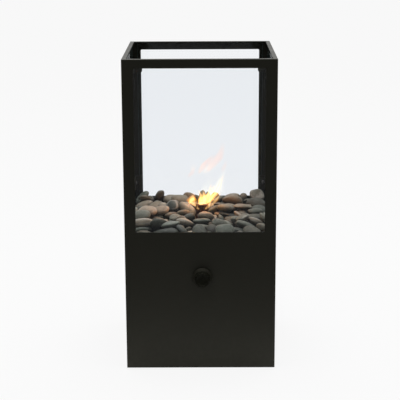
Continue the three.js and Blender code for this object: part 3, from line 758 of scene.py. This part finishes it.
def rubber_foot(node):
    """A rubber foot with its stem pushed through the base."""
    radius, low, high = span(node)
    stem, lip_top = 2.0, BASE + SHEET + GAP
    profile = [(0, low), (radius - 0.4, low), (radius, low + 0.6), (radius - 0.3, BASE - GAP),
               (stem, BASE - GAP), (stem, lip_top), (stem + 0.8, lip_top), (stem, high), (0, high)]
    spot = middle(node)
    turned_piece(f"{node}_rubber", node, profile, RUBBER, radius=0.25, segments=40,
                 axis=np.array([spot.x, spot.y, 0]))


for node in ("front_foot_left", "front_foot_right", "rear_foot_left", "rear_foot_right"):
    rubber_foot(node)


def knob_piece():
    """Knob with a flared skirt, a fluted grip, a dished face and a pointer line."""
    skirt, back, face = span("knob", True)
    grip, flutes, flute_depth = 12.0, 12, 0.85
    shoulder = back + 5.6       # the flutes run out here, above the skirt

    def fluted(r, z, angle):
        if r < grip - 2.2 or z < shoulder:
            return r
        wave = max(0.0, math.cos(flutes * angle + math.pi)) ** 3
        return r - flute_depth * wave * min(1.0, (z - shoulder) / 1.5)

    profile = [
        (0, back + 2.5), (SHAFT_BORE, back + 2.5), (SHAFT_BORE, back), (skirt - 0.9, back),
        (skirt, back + 0.7), (skirt, back + 1.5), (skirt - 0.7, back + 2.3), (grip + 2.0, back + 3.6),
        (grip + 0.5, back + 4.6), (grip, back + 6.0), (grip, face - 1.4), (grip - 1.2, face - 0.15),
        (grip - 2.4, face - 0.05), (grip - 3.3, face - 1.1), (grip * 0.45, face - 2.2), (0, face - 2.5),
    ]
    piece = turned_piece("knob_body", "knob", profile, KNOB_SHADED_PLASTIC, "control",
                         front=True, segments=192, radius_at=fluted, radius=0.5)
    piece.data.materials.append(SKIRT_LIT_PLASTIC)
    # the skirt gets the lighter copy, painted light; the grip and face get the darker copy, painted shade
    for part in piece.data.polygons:
        on_skirt = math.hypot(part.center.x / MM - GAS_X, part.center.z / MM - VALVE_Z) > grip + 0.6
        part.material_index = int(on_skirt)
    half_width, line_start, line_end = 0.55, 4.2, 8.4
    outline = rounded_rectangle(-half_width, half_width, line_start, line_end, 0.5, 4)
    points, faces = prism_mesh(outline, face - 2.8, face - 1.0)
    mark = solid("knob_pointer", face_front(points) + KNOB_AXIS, faces, KNOB_SHADED_PLASTIC)
    bevel(mark, 0.15)
    finish_piece(mark, body="control")


knob_piece()


def front_parts():
    """Shaft, coupler, spindle and bush on the knob's axis."""
    radius, low, high = span("control_shaft", True)
    turned_piece("control_shaft_bar", "control_shaft", [(0, low), (radius, low), (radius, high), (0, high)],
                 ZINC, "control", front=True)
    radius, low, high = span("valve_spindle", True)
    turned_piece("valve_spindle_bar", "valve_spindle",
                 [(0, low), (0.8, low), (radius, low + 4), (radius, high), (0, high)],
                 BRASS, "control", front=True)
    radius, low, high = span("shaft_coupler", True)
    waist = (low + high) / 2
    turned_piece("coupler_sleeve", "shaft_coupler",
                 [(SHAFT_BORE, low), (radius, low), (radius, waist - 1.2), (radius - 0.7, waist - 0.8),
                  (radius - 0.7, waist + 0.8), (radius, waist + 1.2), (radius, high), (SHAFT_BORE, high)],
                 BRASS, "control", front=True)
    radius, low, high = span("panel_bush", True)
    turned_piece("panel_bush_nylon", "panel_bush",
                 [(SHAFT_BORE, low), (5.4, low), (6, low + 1.5), (6, HALF + GAP), (radius, HALF + GAP),
                  (radius, high), (SHAFT_BORE, high)],
                 BLACK_PLASTIC, front=True)


front_parts()


def cartridge_piece():
    """Gas can with a dished base, a seam, a domed shoulder, a rolled rim and a threaded stem."""
    radius, base, stem_top = span("gas_cartridge")
    wall_top, rim_low, rim_high, rim_radius = 104, 125.0, 130.7, 22.0
    stem, stem_start = 5.3, rim_high - 2
    shoulder = []
    for step in range(13):
        angle = step / 12 * math.pi / 2
        shoulder.append((rim_radius + (radius - rim_radius) * math.cos(angle),
                         wall_top + (rim_low - wall_top) * math.sin(angle)))
    profile = (
        [(0, base + 9), (28, base + 6), (44, base + 1.5), (48, base + 0.2), (51, base), (54, base + 1.2),
         (radius, base + 4), (radius - 0.4, base + 5.5), (radius, base + 6.5),
         (radius, 100.5), (radius - 0.35, 101.2), (radius - 0.35, 102.3)]
        + shoulder
        + [(rim_radius, rim_high - 1.4), (rim_radius - 1, rim_high), (rim_radius - 4, rim_high),
           (rim_radius - 6, rim_high - 4), (stem + 0.4, rim_high - 3)]
        + thread(stem - 0.5, stem, stem_start, 0.9, 12)
        + [(stem - 0.6, stem_top), (1.5, stem_top), (1.5, stem_top - 6), (0, stem_top - 6)]
    )
    turned_piece("gas_can", "gas_cartridge", profile, CAN_PAINT, "cartridge", segments=96, radius=0.2)


cartridge_piece()


def gas_train():
    """Knurled collar, its seal and the jet with its hexagon, on the gas axis."""
    radius, low, high = span("inlet_collar")

    def knurled(r, z, angle):
        return r - (0.8 * max(0.0, math.cos(36 * angle)) ** 2 if r > radius - 0.5 else 0)

    turned_piece("collar_knurled", "inlet_collar",
                 [(STEM_BORE, low), (radius - 1.4, low), (radius, low + 1.4), (radius, high - 1.4),
                  (radius - 1.4, high), (12.3, high), (12.3, high - 3), (STEM_BORE, high - 3)],
                 BLACK_PLASTIC, segments=288, radius_at=knurled)
    seal, low, high = span("inlet_seal")
    turned_piece("seal_ring", "inlet_seal",
                 [(STEM_BORE, low), (seal, low), (seal, high), (STEM_BORE, high)], RUBBER, radius=0.6)
    bottom, tip = span("injector")[1:]
    seat = bottom + 6

    def hexagonal(r, z, angle):
        return r if r < 4.9 else 4.5 / math.cos((angle + math.pi / 6) % (math.pi / 3) - math.pi / 6)

    turned_piece("jet", "injector",
                 [(0, seat - 6), (2.5, seat - 6), (2.5, seat), (5.0, seat), (5.0, seat + 3), (3, seat + 3),
                  (3, seat + 4), (1.2, tip), (0.3, tip), (0.3, tip - 2), (0, tip - 2)],
                 BRASS, radius=0.2, radius_at=hexagonal)


gas_train()


def burner_tube_piece():
    """Mixing tube with round air holes."""
    low, high = span("burner_tube")[1:]
    shoulder = node_box("pebble_tray")[0].z - GAP
    profile = [(6.3, low), (10, low), (10, shoulder - 2), (15, shoulder - 2), (15, shoulder), (8, shoulder),
               (8, high), (6.5, high), (6.5, shoulder), (8.5, shoulder - 4), (8.5, low + 2), (6.3, low + 2)]
    piece = turned("mixing_tube", profile, STAINLESS, radius=0.3)
    points, faces = lathe_mesh([(0, -12), (3, -12), (3, 12), (0, 12)], 32)
    for turns in (0, 1):
        hole = turn_quarter(face_front(points), turns) + np.array([GAS_X, 0, low + 10])
        combine(piece, solid("air_hole", hole, faces, STAINLESS))
    smooth_by_angle(piece)
    finish_piece(piece, "burner_tube")


burner_tube_piece()


def valve_piece():
    """Brass valve: turned body and neck with thread, and the boss for the spindle."""
    low, high = span("valve_body")[1:]
    shoulder, pitch, bore = high - 12.3, 1.0, 2.8
    profile = (
        [(0, low + 2.2), (8.3, low + 2.2), (8.3, low), (12, low), (12, shoulder - 1), (11, shoulder),
         (6, shoulder)]
        + thread(5.5, 6.0, shoulder + 0.5, pitch, int((high - shoulder - 1) / pitch))
        + [(5.2, high), (bore, high), (bore, high - 7), (0, high - 7)]
    )
    body = turned("valve_casting", profile, BRASS, radius=0.25)
    boss = [(0, 0), (8, 0), (8, 17), (7.2, 18), (7.2, 23.4), (6.6, 24), (bore, 24), (bore, 8), (0, 8)]
    combine(body, turned("valve_boss", boss, BRASS, radius=0.25, front=True), "UNION")
    smooth_by_angle(body, 32)
    finish_piece(body, "valve_body")


valve_piece()


# ---------- burner head and gauze ----------

def burner_head_piece():
    """Slotted cup: a wall drawn as a grid with the slots left out, thickened, on a turned floor."""
    radius, low, high = span("burner_head")
    wall, slots = 1.2, 12
    slot_half = 1.3 / radius
    slot_low, slot_high = high - 17, high - 4
    angles = []
    for k in range(slots):
        centre = 2 * math.pi * (k + 0.5) / slots + math.pi / 2
        angles += [centre - slot_half + 2 * slot_half * j / 6 for j in range(7)]
        gap_start, gap_end = centre + slot_half, centre + 2 * math.pi / slots - slot_half
        angles += [gap_start + (gap_end - gap_start) * j / 4 for j in range(1, 4)]
    open_column = ([True] * 6 + [False] * 4) * slots
    heights = [low, low + 1.2, slot_low, slot_low + 0.6, (slot_low + slot_high) / 2, slot_high - 0.6,
               slot_high, high - 1.0, high]
    middle_radius = radius - wall / 2
    points = np.array([(middle_radius * math.cos(angle), middle_radius * math.sin(angle), z)
                       for z in heights for angle in angles])
    count = len(angles)
    faces = []
    for number, face in enumerate(ring_quads(len(heights), count)):
        row, column = divmod(number, count)
        in_slot = slot_low <= heights[row] and heights[row + 1] <= slot_high
        if not (in_slot and open_column[column]):
            faces.append(face)
    for index, (x, y, z) in enumerate(points):
        bulge = 0.15 * math.sin(7 * math.atan2(y, x)) * math.sin(0.4 * z)
        points[index, :2] *= 1 + 0.006 * bulge
    head = mesh_object("burner_cup", points + GAS_AXIS, faces, SCORCHED)
    modify(head, "SOLIDIFY", thickness=wall * MM * 0.96, offset=0)
    bevel(head, 0.2, 2, 50)
    finish_piece(head, "burner_head")
    reach = radius - wall - 0.05
    floor = [(8.3, low + 0.1), (reach, low + 0.1), (reach, low + 2), (8.3, low + 2)]
    finish_piece(turned("burner_cup_floor", floor, SCORCHED, radius=0.2))


burner_head_piece()


def burner_gauze_piece():
    """Woven wire sleeve with a domed top, as a net of round wires."""
    radius, low, high = span("burner_gauze")
    rows = [(radius - 0.3, low + (high - 3 - low) * k / 15) for k in range(16)]
    for k in range(1, 8):
        angle = k / 8 * math.pi / 2
        rows.append(((radius - 0.3) * math.cos(angle), high - 3 + 2.6 * math.sin(angle)))
    segments = 44
    points = []
    for row, (r, z) in enumerate(rows):
        for k in range(segments):
            angle = 2 * math.pi * (k + 0.5 * (row % 2)) / segments
            points.append((r * math.cos(angle), r * math.sin(angle), z))
    net = mesh_object("gauze_net", points + GAS_AXIS, ring_quads(len(rows), segments), SCORCHED)
    modify(net, "WIREFRAME", thickness=0.36 * MM, use_boundary=True, use_replace=True)
    finish_piece(net, "burner_gauze")


burner_gauze_piece()


# ---------- flat CAD parts with their edges rounded ----------

def refined(node, material, width=0.25, body="root"):
    """A copy of a CAD node with flat faces made whole and edges rounded, standing for the node."""
    source = frame["nodes"][node]
    mesh = source.data.copy()
    mesh.materials.clear()
    mesh.materials.append(material)
    for face in mesh.polygons:
        face.material_index = 0
    piece = add_object(f"{node}_formed", mesh)
    work = bmesh.new()
    work.from_mesh(mesh)
    bmesh.ops.remove_doubles(work, verts=work.verts, dist=1e-6)
    bmesh.ops.dissolve_limit(work, angle_limit=math.radians(1), verts=work.verts, edges=work.edges)
    bmesh.ops.recalc_face_normals(work, faces=work.faces)
    work.to_mesh(mesh)
    work.free()
    bevel(piece, width)
    finish_piece(piece, node, body=body)


for side in SIDES:
    refined(f"tray_bracket_{side}", ZINC)
refined("valve_strap", ZINC)
refined("pebble_tray", STAINLESS, 0.2)
refined("gland_nut", BRASS)
refined("neck_nut", BRASS)
refined("burner_locknut", ZINC)
refined("knob_screw", ZINC, 0.15, "control")


# ---------- pebbles ----------

STONE_COUNT = 232
# where the last stones are let fall, two over each place
HEAPS = ((-88, 93), (-64, 95), (-40, 96), (-16, 97), (34, 96), (60, 95), (84, 93))
STONE_SCALE = 20        # the drop is simulated this much larger than life, where the solver is steady
DROP_FRAMES = 150
STONE_GROUPS = 4        # the bed is joined into this many pieces along each side


def cube_sphere(cells):
    """Even points on a unit sphere, from a cube's faces."""
    index, points, faces = {}, [], []

    def corner(p):
        p = p / np.linalg.norm(p)
        key = tuple(np.round(p, 6))
        if key not in index:
            index[key] = len(points)
            points.append(p)
        return index[key]

    line = np.tan(np.linspace(-math.pi / 4, math.pi / 4, cells + 1))
    for axis in range(3):
        for sign in (-1, 1):
            for i in range(cells):
                for j in range(cells):
                    quad = []
                    for a, b in ((i, j), (i + 1, j), (i + 1, j + 1), (i, j + 1)):
                        p = np.zeros(3)
                        p[axis] = sign
                        p[(axis + 1) % 3] = line[a]
                        p[(axis + 2) % 3] = line[b]
                        quad.append(corner(p))
                    faces.append(quad if sign > 0 else quad[::-1])
    return np.array(points), faces


class Pebble:
    """One tumbled stone: half lengths in millimetres, broad swells, worn flats, and a tint."""

    def __init__(self, rng, longest):
        length = float(np.clip(rng.normal(30, 6.5), 18, longest))
        breadth = length * rng.uniform(0.60, 0.85)
        thick = breadth * rng.uniform(0.42, 0.66)
        self.half = np.array([length, breadth, thick]) / 2
        self.swells = [(rng.normal(0, 1.2, 3), rng.uniform(0, 6.3), 0.055) for _ in range(2)]
        self.swells += [(rng.normal(0, 2.6, 3), rng.uniform(0, 6.3), 0.018) for _ in range(3)]
        self.flats = []
        for _ in range(rng.integers(2, 6)):
            direction = rng.normal(0, 1, 3)
            self.flats.append((direction / np.linalg.norm(direction), rng.uniform(0.76, 0.93)))
        self.tint = (rng.beta(1.4, 1.5), rng.beta(1.5, 1.7), 1.0 if rng.uniform() < 0.22 else 0.0)
        self.matrix = Matrix()

    def shape(self, sphere):
        radius = np.ones(len(sphere))
        for direction, phase, amount in self.swells:
            radius += amount * np.sin(sphere @ direction + phase)
        power = 11
        worn = radius ** -power
        for direction, depth in self.flats:
            worn += (np.maximum(sphere @ direction, 0) / depth) ** power
        return sphere * (worn ** (-1 / power))[:, None] * self.half


def drop_stones(stones, rng):
    """Lets the stones fall into the tray, between the panes and around the burner."""
    scene = bpy.context.scene
    bpy.ops.rigidbody.world_add()
    world = scene.rigidbody_world
    world.substeps_per_frame = 8
    world.solver_iterations = 20
    world.point_cache.frame_start = 1
    world.point_cache.frame_end = DROP_FRAMES
    group = bpy.data.collections.new("drop")
    world.collection = group
    scale = STONE_SCALE * MM

    def body(name, points, faces, kind, mass=1.0):
        mesh = bpy.data.meshes.new(name)
        centre = np.mean(points, axis=0) if kind == "PASSIVE" else np.zeros(3)
        mesh.from_pydata([tuple(p) for p in (points - centre) * scale], [], faces)
        item = add_object(name, mesh)
        item.location = centre * scale
        group.objects.link(item)
        settings = dict(type=kind, collision_shape="CONVEX_HULL", mass=mass, friction=0.6, restitution=0.0,
                        angular_damping=0.5, use_margin=True, collision_margin=0.004)
        for key, value in settings.items():
            setattr(item.rigid_body, key, value)
        return item

    floor = node_box("pebble_tray")[0].z + 1.3
    wall = node_box("right_glass")[0].x - 0.6
    thick, tall = 50, 900
    edge = wall + thick
    for name, x0, x1, y0, y1, top in (
        ("floor", -edge, edge, -edge, edge, floor),
        ("left", -edge, -wall, -edge, edge, tall),
        ("right", wall, edge, -edge, edge, tall),
        ("front", -edge, edge, -edge, -wall, tall),
        ("rear", -edge, edge, wall, edge, tall),
    ):
        outline = [(x0, y0), (x1, y0), (x1, y1), (x0, y1)]
        body(f"drop_{name}", *prism_mesh(outline, floor - thick, top), "PASSIVE")
    keep_clear = span("burner_head")[0] + 4.5
    points, faces = lathe_mesh([(0, floor), (keep_clear, floor), (keep_clear, tall), (0, tall)], 24)
    body("drop_burner", points + GAS_AXIS, faces, "PASSIVE")

    coarse, faces = cube_sphere(4)
    # the stones start in layers of five by five, and those over the burner are moved beside it
    spacing, first_layer, layer_height = 43, 24, 32
    beside_burner = (27, 22)
    falling = []
    for number, stone in enumerate(stones):
        item = body(f"drop_stone_{number}", stone.shape(coarse), faces, "ACTIVE",
                    mass=float(np.prod(stone.half)) / 600)
        layer, spot = divmod(number, 25)
        row, column = divmod(spot, 5)
        x = (column - 2) * spacing + rng.uniform(-2, 2)
        y = (row - 2) * spacing + rng.uniform(-2, 2)
        if row == column == 2:
            x, y = x + beside_burner[0], y + beside_burner[1]
        last = len(stones) - 1 - number
        if last < 2 * len(HEAPS):
            x, y = HEAPS[last // 2]
            layer += 1 + last % 2
        item.location = Vector((x, y, floor + first_layer + layer_height * layer)) * scale
        item.rotation_euler = (rng.uniform(-0.35, 0.35), rng.uniform(-0.35, 0.35), rng.uniform(0, 6.28))
        falling.append(item)
    for number in range(1, DROP_FRAMES + 1):
        scene.frame_set(number)
    graph = bpy.context.evaluated_depsgraph_get()
    shrink = Matrix.Scale(1 / scale, 4)
    for stone, item in zip(stones, falling):
        pose = item.evaluated_get(graph).matrix_world.copy()
        pose.translation = shrink @ pose.translation
        stone.matrix = pose
    bpy.ops.rigidbody.world_remove()
    for item in list(group.objects):
        bpy.data.objects.remove(item)
    bpy.data.collections.remove(group)
    scene.frame_set(1)


def hides_burner(points):
    """Whether a stone stands in the view of the burner head from the front and a little above."""
    radius, _, high = span("burner_head")
    shown, depth, slope = 11, 52, 0.30      # of the head, ahead of it, and of the line of sight
    ahead = -radius - points[:, 1]
    near = (np.abs(points[:, 0] - GAS_X) < radius + 3) & (ahead > 0) & (ahead < depth)
    return bool((near & (points[:, 2] > high - shown + slope * ahead)).any())


def bed_depth(points, wall):
    """How deep each point lies under the bed's surface around it: 0 on top, 1 far down a gap."""
    cell, reach = 3.0, 4
    above, below = 2.0, 7.0     # painted shade grows from this far above the mean level to this far below it
    count = int(2 * wall / cell) + 1
    column, row = ((points[:, :2] + wall) / cell).astype(int).clip(0, count - 1).T
    surface = np.zeros((count, count))
    np.maximum.at(surface, (row, column), points[:, 2])
    padded = np.pad(surface, reach, mode="edge")
    window = 2 * reach + 1
    level = sum(padded[i:i + count, j:j + count] for i in range(window) for j in range(window))
    return ((level[row, column] / window ** 2 + above - points[:, 2]) / (above + below)).clip(0, 1)


def pebble_bed():
    """The stones that came to rest in the tray, joined into a grid of pieces."""
    rng = np.random.default_rng(41)
    heaped = 2 * len(HEAPS)
    stones = [Pebble(rng, 43 if number < STONE_COUNT - heaped else 30) for number in range(STONE_COUNT)]
    drop_stones(stones, rng)
    sphere, faces = cube_sphere(8)
    size = len(sphere)
    wall = node_box("right_glass")[0].x
    lowest = 200        # a stone under this height has slipped past the tray
    cells = {}
    for stone in stones:
        rest = stone.shape(sphere)
        pose = np.array(stone.matrix)
        points = rest @ pose[:3, :3].T + pose[:3, 3]
        inside = np.abs(points[:, :2]).max() < wall and lowest < points[:, 2].min()
        if not inside or hides_burner(points):
            continue
        column, row = (min(STONE_GROUPS - 1, int((pose[axis, 3] + wall) / (2 * wall) * STONE_GROUPS))
                       for axis in (0, 1))
        cells.setdefault((row, column), []).append((points, rest, stone.tint))
    depths = bed_depth(np.concatenate([m[0] for members in cells.values() for m in members]), wall)
    depth_of, start = {}, 0
    for key, members in cells.items():
        depth_of[key] = depths[start:start + size * len(members)]
        start += size * len(members)
    for key in sorted(cells):
        members = cells[key]
        points = np.concatenate([m[0] for m in members])
        rests = np.concatenate([m[1] for m in members])
        joined = [[v + size * n for v in quad] for n in range(len(members)) for quad in faces]
        piece = mesh_object(f"pebbles_{key[0] + 1}_{key[1] + 1}", points, joined, STONE)
        tints = np.repeat([m[2] for m in members], size, axis=0)
        offsets = np.repeat(rng.uniform(-200, 200, (len(members), 3)), size, axis=0)
        for name, kind, field, values in (
            ("stone_tint", "FLOAT_VECTOR", "vector", tints),
            ("stone_rest", "FLOAT_VECTOR", "vector", (rests + offsets) * MM),
            # each point's depth in the bed, which the stone material turns into painted shade
            ("stone_gap_shade_depth", "FLOAT", "value", depth_of[key]),
        ):
            attribute = piece.data.attributes.new(name, kind, "POINT")
            attribute.data.foreach_set(field, np.asarray(values, np.float32).ravel())
        finish_piece(piece, "pebble_bed")


pebble_bed()


# ---------- flame, which is light and not a part ----------

def fire_material(name, glow, strength, blocked, density):
    """A thin even glow that also takes a little blue out of what is behind it."""
    s = Shader(name)
    both = s.node("ShaderNodeAddShader")
    s.feed(both.inputs[0], s.node("ShaderNodeEmission", Color=glow, Strength=strength).outputs[0])
    s.feed(both.inputs[1], s.node("ShaderNodeVolumeAbsorption", Color=blocked, Density=density).outputs[0])
    return s.finish(both.outputs[0], "Volume")


RIM_FIRE = fire_material("fire_rim", (1.0, 0.26, 0.03), 44, (1.0, 0.82, 0.45), 30)
BODY_FIRE = fire_material("fire_body", (1.0, 0.56, 0.11), 62, (1.0, 0.93, 0.60), 30)
CORE_FIRE = fire_material("fire_core", (1.0, 0.83, 0.44), 100, (1.0, 0.98, 0.84), 25)
HAZE_FIRE = fire_material("fire_haze", (1.0, 0.88, 0.52), 5.0, (1.0, 0.98, 0.92), 10)
WISP_FIRE = fire_material("fire_wisp", (1.0, 0.36, 0.14), 10, (1.0, 0.76, 0.68), 40)


def along(points, t):
    """A point on the smooth curve through control points, and t runs from 0 to 1."""
    points = [points[0]] + points + [points[-1]]
    reach = t * (len(points) - 3)
    k = min(int(reach), len(points) - 4)
    u = reach - k
    a, b, c, d = (np.array(p, float) for p in points[k:k + 4])
    square, cube = 2 * a - 5 * b + 4 * c - d, 3 * b - a - 3 * c + d
    return 0.5 * (2 * b + (c - a) * u + square * u ** 2 + cube * u ** 3)


def tongue(name, material, path, width, twist, phase, belly):
    """A tongue of flame: a flattened, twisting, rippled tube along a path, widest at its belly."""
    rings, segments, flatness = 30, 24, 0.55
    points = []
    for k in range(rings + 1):
        t = k / rings
        swell = (t / belly) ** 0.5 if t < belly else (1 - (t - belly) / (1 - belly)) ** 0.8
        turn = twist * t + phase
        spot = along(path, t)
        for j in range(segments):
            angle = 2 * math.pi * j / segments
            ripple = 0.10 * math.sin(3 * angle + 7 * t + phase) + 0.08 * math.sin(2 * angle - 11 * t)
            reach = max(width * swell * (1 + ripple * min(1, 2 * t)), 0.01)
            across, deep = reach * math.cos(angle), flatness * reach * math.sin(angle)
            points.append(spot + np.array((across * math.cos(turn) - deep * math.sin(turn),
                                           across * math.sin(turn) + deep * math.cos(turn), 0)))
    faces = ring_quads(rings + 1, segments)
    faces.append(tuple(range(segments))[::-1])
    faces.append(tuple(range(rings * segments, (rings + 1) * segments)))
    solid(name, points, faces, material)


def flame():
    """The licks, haze and wisps over the burner, and the light that they give.

    Each has a path, in millimetres from the middle of the burner's mouth, then its width, twist and
    phase, and a lick also has the place of its belly.
    """
    mouth = np.array([GAS_X, 0, span("burner_head")[2]])

    def from_mouth(path):
        return [mouth + np.array(p) for p in path]

    licks = (
        ([(-11, -4, -4), (-16, -5, 3), (-17, -5, 10), (-14, -4, 20)], 10.0, 0.3, 0.1, 0.6),
        ([(-13, -4, 12), (-19, -4, 5), (-24, -4, -5)], 5.5, 0.2, 0.4, 0.35),
        ([(-4, 0, -2), (-4, 0, 6), (-2, 1, 14), (-7, 1, 25)], 7.0, 1.5, 0.9, 0.4),
        ([(-2, -4, -2), (1, -5, 6), (3, -4, 14), (2, -2, 25)], 10.5, 1.0, 0.3, 0.4),
        ([(4, 2, -3), (10, 2, 6), (14, 2, 14), (20, 2, 32)], 11.0, -1.2, 0.1, 0.4),
        ([(10, -8, -6), (12, -9, 0), (13, -9, 7), (12, -8, 16)], 4.6, 0.6, 0.4, 0.5),
        ([(15, -4, -4), (20, -4, 3), (26, -4, 11), (33, -4, 22)], 4.6, -0.8, 0.0, 0.5),
        ([(8, 1, 0), (19, 1, 12), (27, 1, 26), (36, 1, 50)], 8.0, 0.8, 0.3, 0.4),
        ([(3, 8, -4), (6, 10, 8), (12, 10, 16), (15, 9, 32)], 9.0, 1.2, 0.5, 0.4),
        ([(-5, -9, -8), (-8, -12, -4), (-7, -12, 5)], 3.0, 0.4, 0.0, 0.3),
        ([(5, -9, -8), (8, -12, -3), (11, -12, 7)], 3.0, -0.4, 0.0, 0.3),
    )
    for number, (path, width, twist, phase, belly) in enumerate(licks):
        path = from_mouth(path)
        inner = path[:-1] + [0.35 * path[-2] + 0.65 * path[-1]]
        tongue(f"flame_rim_{number}", RIM_FIRE, path, width, twist, phase, belly)
        tongue(f"flame_body_{number}", BODY_FIRE, inner, width * 0.84, twist, phase, belly)
        tongue(f"flame_core_{number}", CORE_FIRE, inner, width * 0.56, twist, phase, belly)
    hazes = (
        ([(10, 0, 0), (19, 0, 14), (29, 0, 32), (39, 0, 64)], 15, 0.5, 0.1),
        ([(12, 2, 6), (21, 2, 20), (29, 2, 36), (38, 2, 58)], 13, 0.9, 0.4),
        ([(14, -2, 4), (21, -2, 18), (26, -2, 30), (33, -2, 50)], 12, -0.9, 0.9),
        ([(0, 0, 0), (5, 0, 14), (11, 0, 26), (12, 0, 44)], 17, -0.5, 0.2),
        ([(-6, 0, 4), (0, 0, 14), (4, 0, 24), (2, 0, 38)], 12, 0.5, 0.6),
    )
    for number, (path, *shape) in enumerate(hazes):
        tongue(f"flame_haze_{number}", HAZE_FIRE, from_mouth(path), *shape, 0.45)
    tongue("flame_pool", CORE_FIRE, from_mouth([(0, -1, -1.5), (0, -1, 3)]), 9.5, 0.0, 0.0, 0.5)
    wisps = (
        ([(-23, 2, 44), (-18, 2, 51), (-12, 2, 62)], 5.5, 0.5, 0.3),
        ([(-6, 3, 50), (2, 3, 62), (10, 3, 74), (20, 3, 84)], 8.5, 0.8, 0.2),
        ([(10, 3, 54), (19, 3, 68), (30, 3, 84), (36, 3, 104)], 10, -0.7, 0.1),
        ([(33, 0, 54), (37, 0, 63), (41, 0, 76)], 4.5, 0.4, 0.2),
    )
    for number, (path, *shape) in enumerate(wisps):
        tongue(f"flame_wisp_{number}", WISP_FIRE, from_mouth(path), *shape, 0.5)
    lamp = bpy.data.lights.new("flame_light", "POINT")
    lamp.color = (1.0, 0.42, 0.16)
    lamp.energy = 0.30
    lamp.shadow_soft_size = 0.018
    light = add_object("flame_light", lamp)
    light.location = place(mouth + np.array([8, -2, 27]))
    light.visible_glossy = False
    light.visible_camera = False


flame()


# ---------- stage, light and camera ----------

BACKDROP = (0.934, 0.934, 0.934)    # of the floor and the wall behind, as the eye sees them


def stage_floor():
    """A plain pale floor. Beyond the object its mirror image fades, as in a darkened studio."""
    size, level = 40_000, -0.05     # millimetres; the level is just under the feet
    fade_start, fade_end = 0.15, 0.42       # metres from the middle
    points = [(x * size, y * size, level) for x, y in ((-1, -1), (1, -1), (1, 1), (-1, 1))]
    s = Shader("stage_paper")
    paper = s.mix(s.noise(4, 2), (0.93, 0.93, 0.93), (0.95, 0.95, 0.95))
    pale = s.node("ShaderNodeBsdfDiffuse", Color=paper)
    dark = s.node("ShaderNodeBsdfDiffuse", Color=(0.20, 0.20, 0.20))
    distance = s.node("ShaderNodeVectorMath", operation="LENGTH", Vector=s.place()).outputs["Value"]
    seen_directly = s.node("ShaderNodeLightPath").outputs["Is Camera Ray"]
    fade = s.math("MULTIPLY", s.remap(distance, fade_start, fade_end, 0.0, 1.0),
                  s.math("SUBTRACT", 1.0, seen_directly))
    even = s.node("ShaderNodeEmission", Color=BACKDROP)
    shown = s.blend(s.math("MULTIPLY", seen_directly, 0.94), s.blend(fade, pale, dark), even)
    mesh_object("stage_floor", points, [(0, 1, 2, 3)], s.finish(shown.outputs[0]))


def studio_world():
    """Even pale backdrop for the eye. For the object the light falls off from above and behind."""
    s = Shader("studio", world=True)
    bpy.context.scene.world = s.owner
    direction = s.separate(s.node("ShaderNodeTexCoord").outputs["Generated"])
    above = s.remap(direction[2], 0.38, 1.0, 0.22, 2.0, "SMOOTHSTEP")
    behind = s.remap(direction[1], -0.5, 0.9, 0.22, 1.55, "SMOOTHSTEP")
    lit = s.node("ShaderNodeBackground", Strength=s.math("MAXIMUM", above, behind))
    seen = s.node("ShaderNodeBackground", Color=BACKDROP)
    seen_directly = s.node("ShaderNodeLightPath").outputs["Is Camera Ray"]
    s.finish(s.blend(seen_directly, lit, seen).outputs[0])


def softbox(name, spot, target, size, energy):
    lamp = bpy.data.lights.new(name, "AREA")
    lamp.shape = "RECTANGLE"
    lamp.size, lamp.size_y = size
    lamp.energy = energy
    light = add_object(name, lamp)
    light.location = spot
    light.rotation_euler = (Vector(target) - Vector(spot)).to_track_quat("-Z", "Y").to_euler()


def camera():
    """The view: from 14 degrees above, slightly right of the middle."""
    lens = bpy.data.cameras.new("camera")
    lens.sensor_width = 36
    lens.lens = 106.4
    lens.clip_end = 200
    eye = add_object("camera", lens)
    spot = place((6.54, -1919.8, 739.0))
    pitch, yaw, roll = 0.24783, -0.00372, -0.00454
    eye.matrix_world = (
        Matrix.Translation(spot)
        @ Matrix.Rotation(-yaw, 4, "Z")
        @ Matrix.Rotation(math.pi / 2 - pitch, 4, "X")
        @ Matrix.Rotation(roll, 4, "Z")
    )
    bpy.context.scene.camera = eye


stage_floor()
studio_world()
softbox("overhead", (0.0, 0.1, 2.2), (0, 0, 0.3), (1.8, 1.8), 32)
camera()
bpy.context.scene.view_settings.view_transform = "Standard"
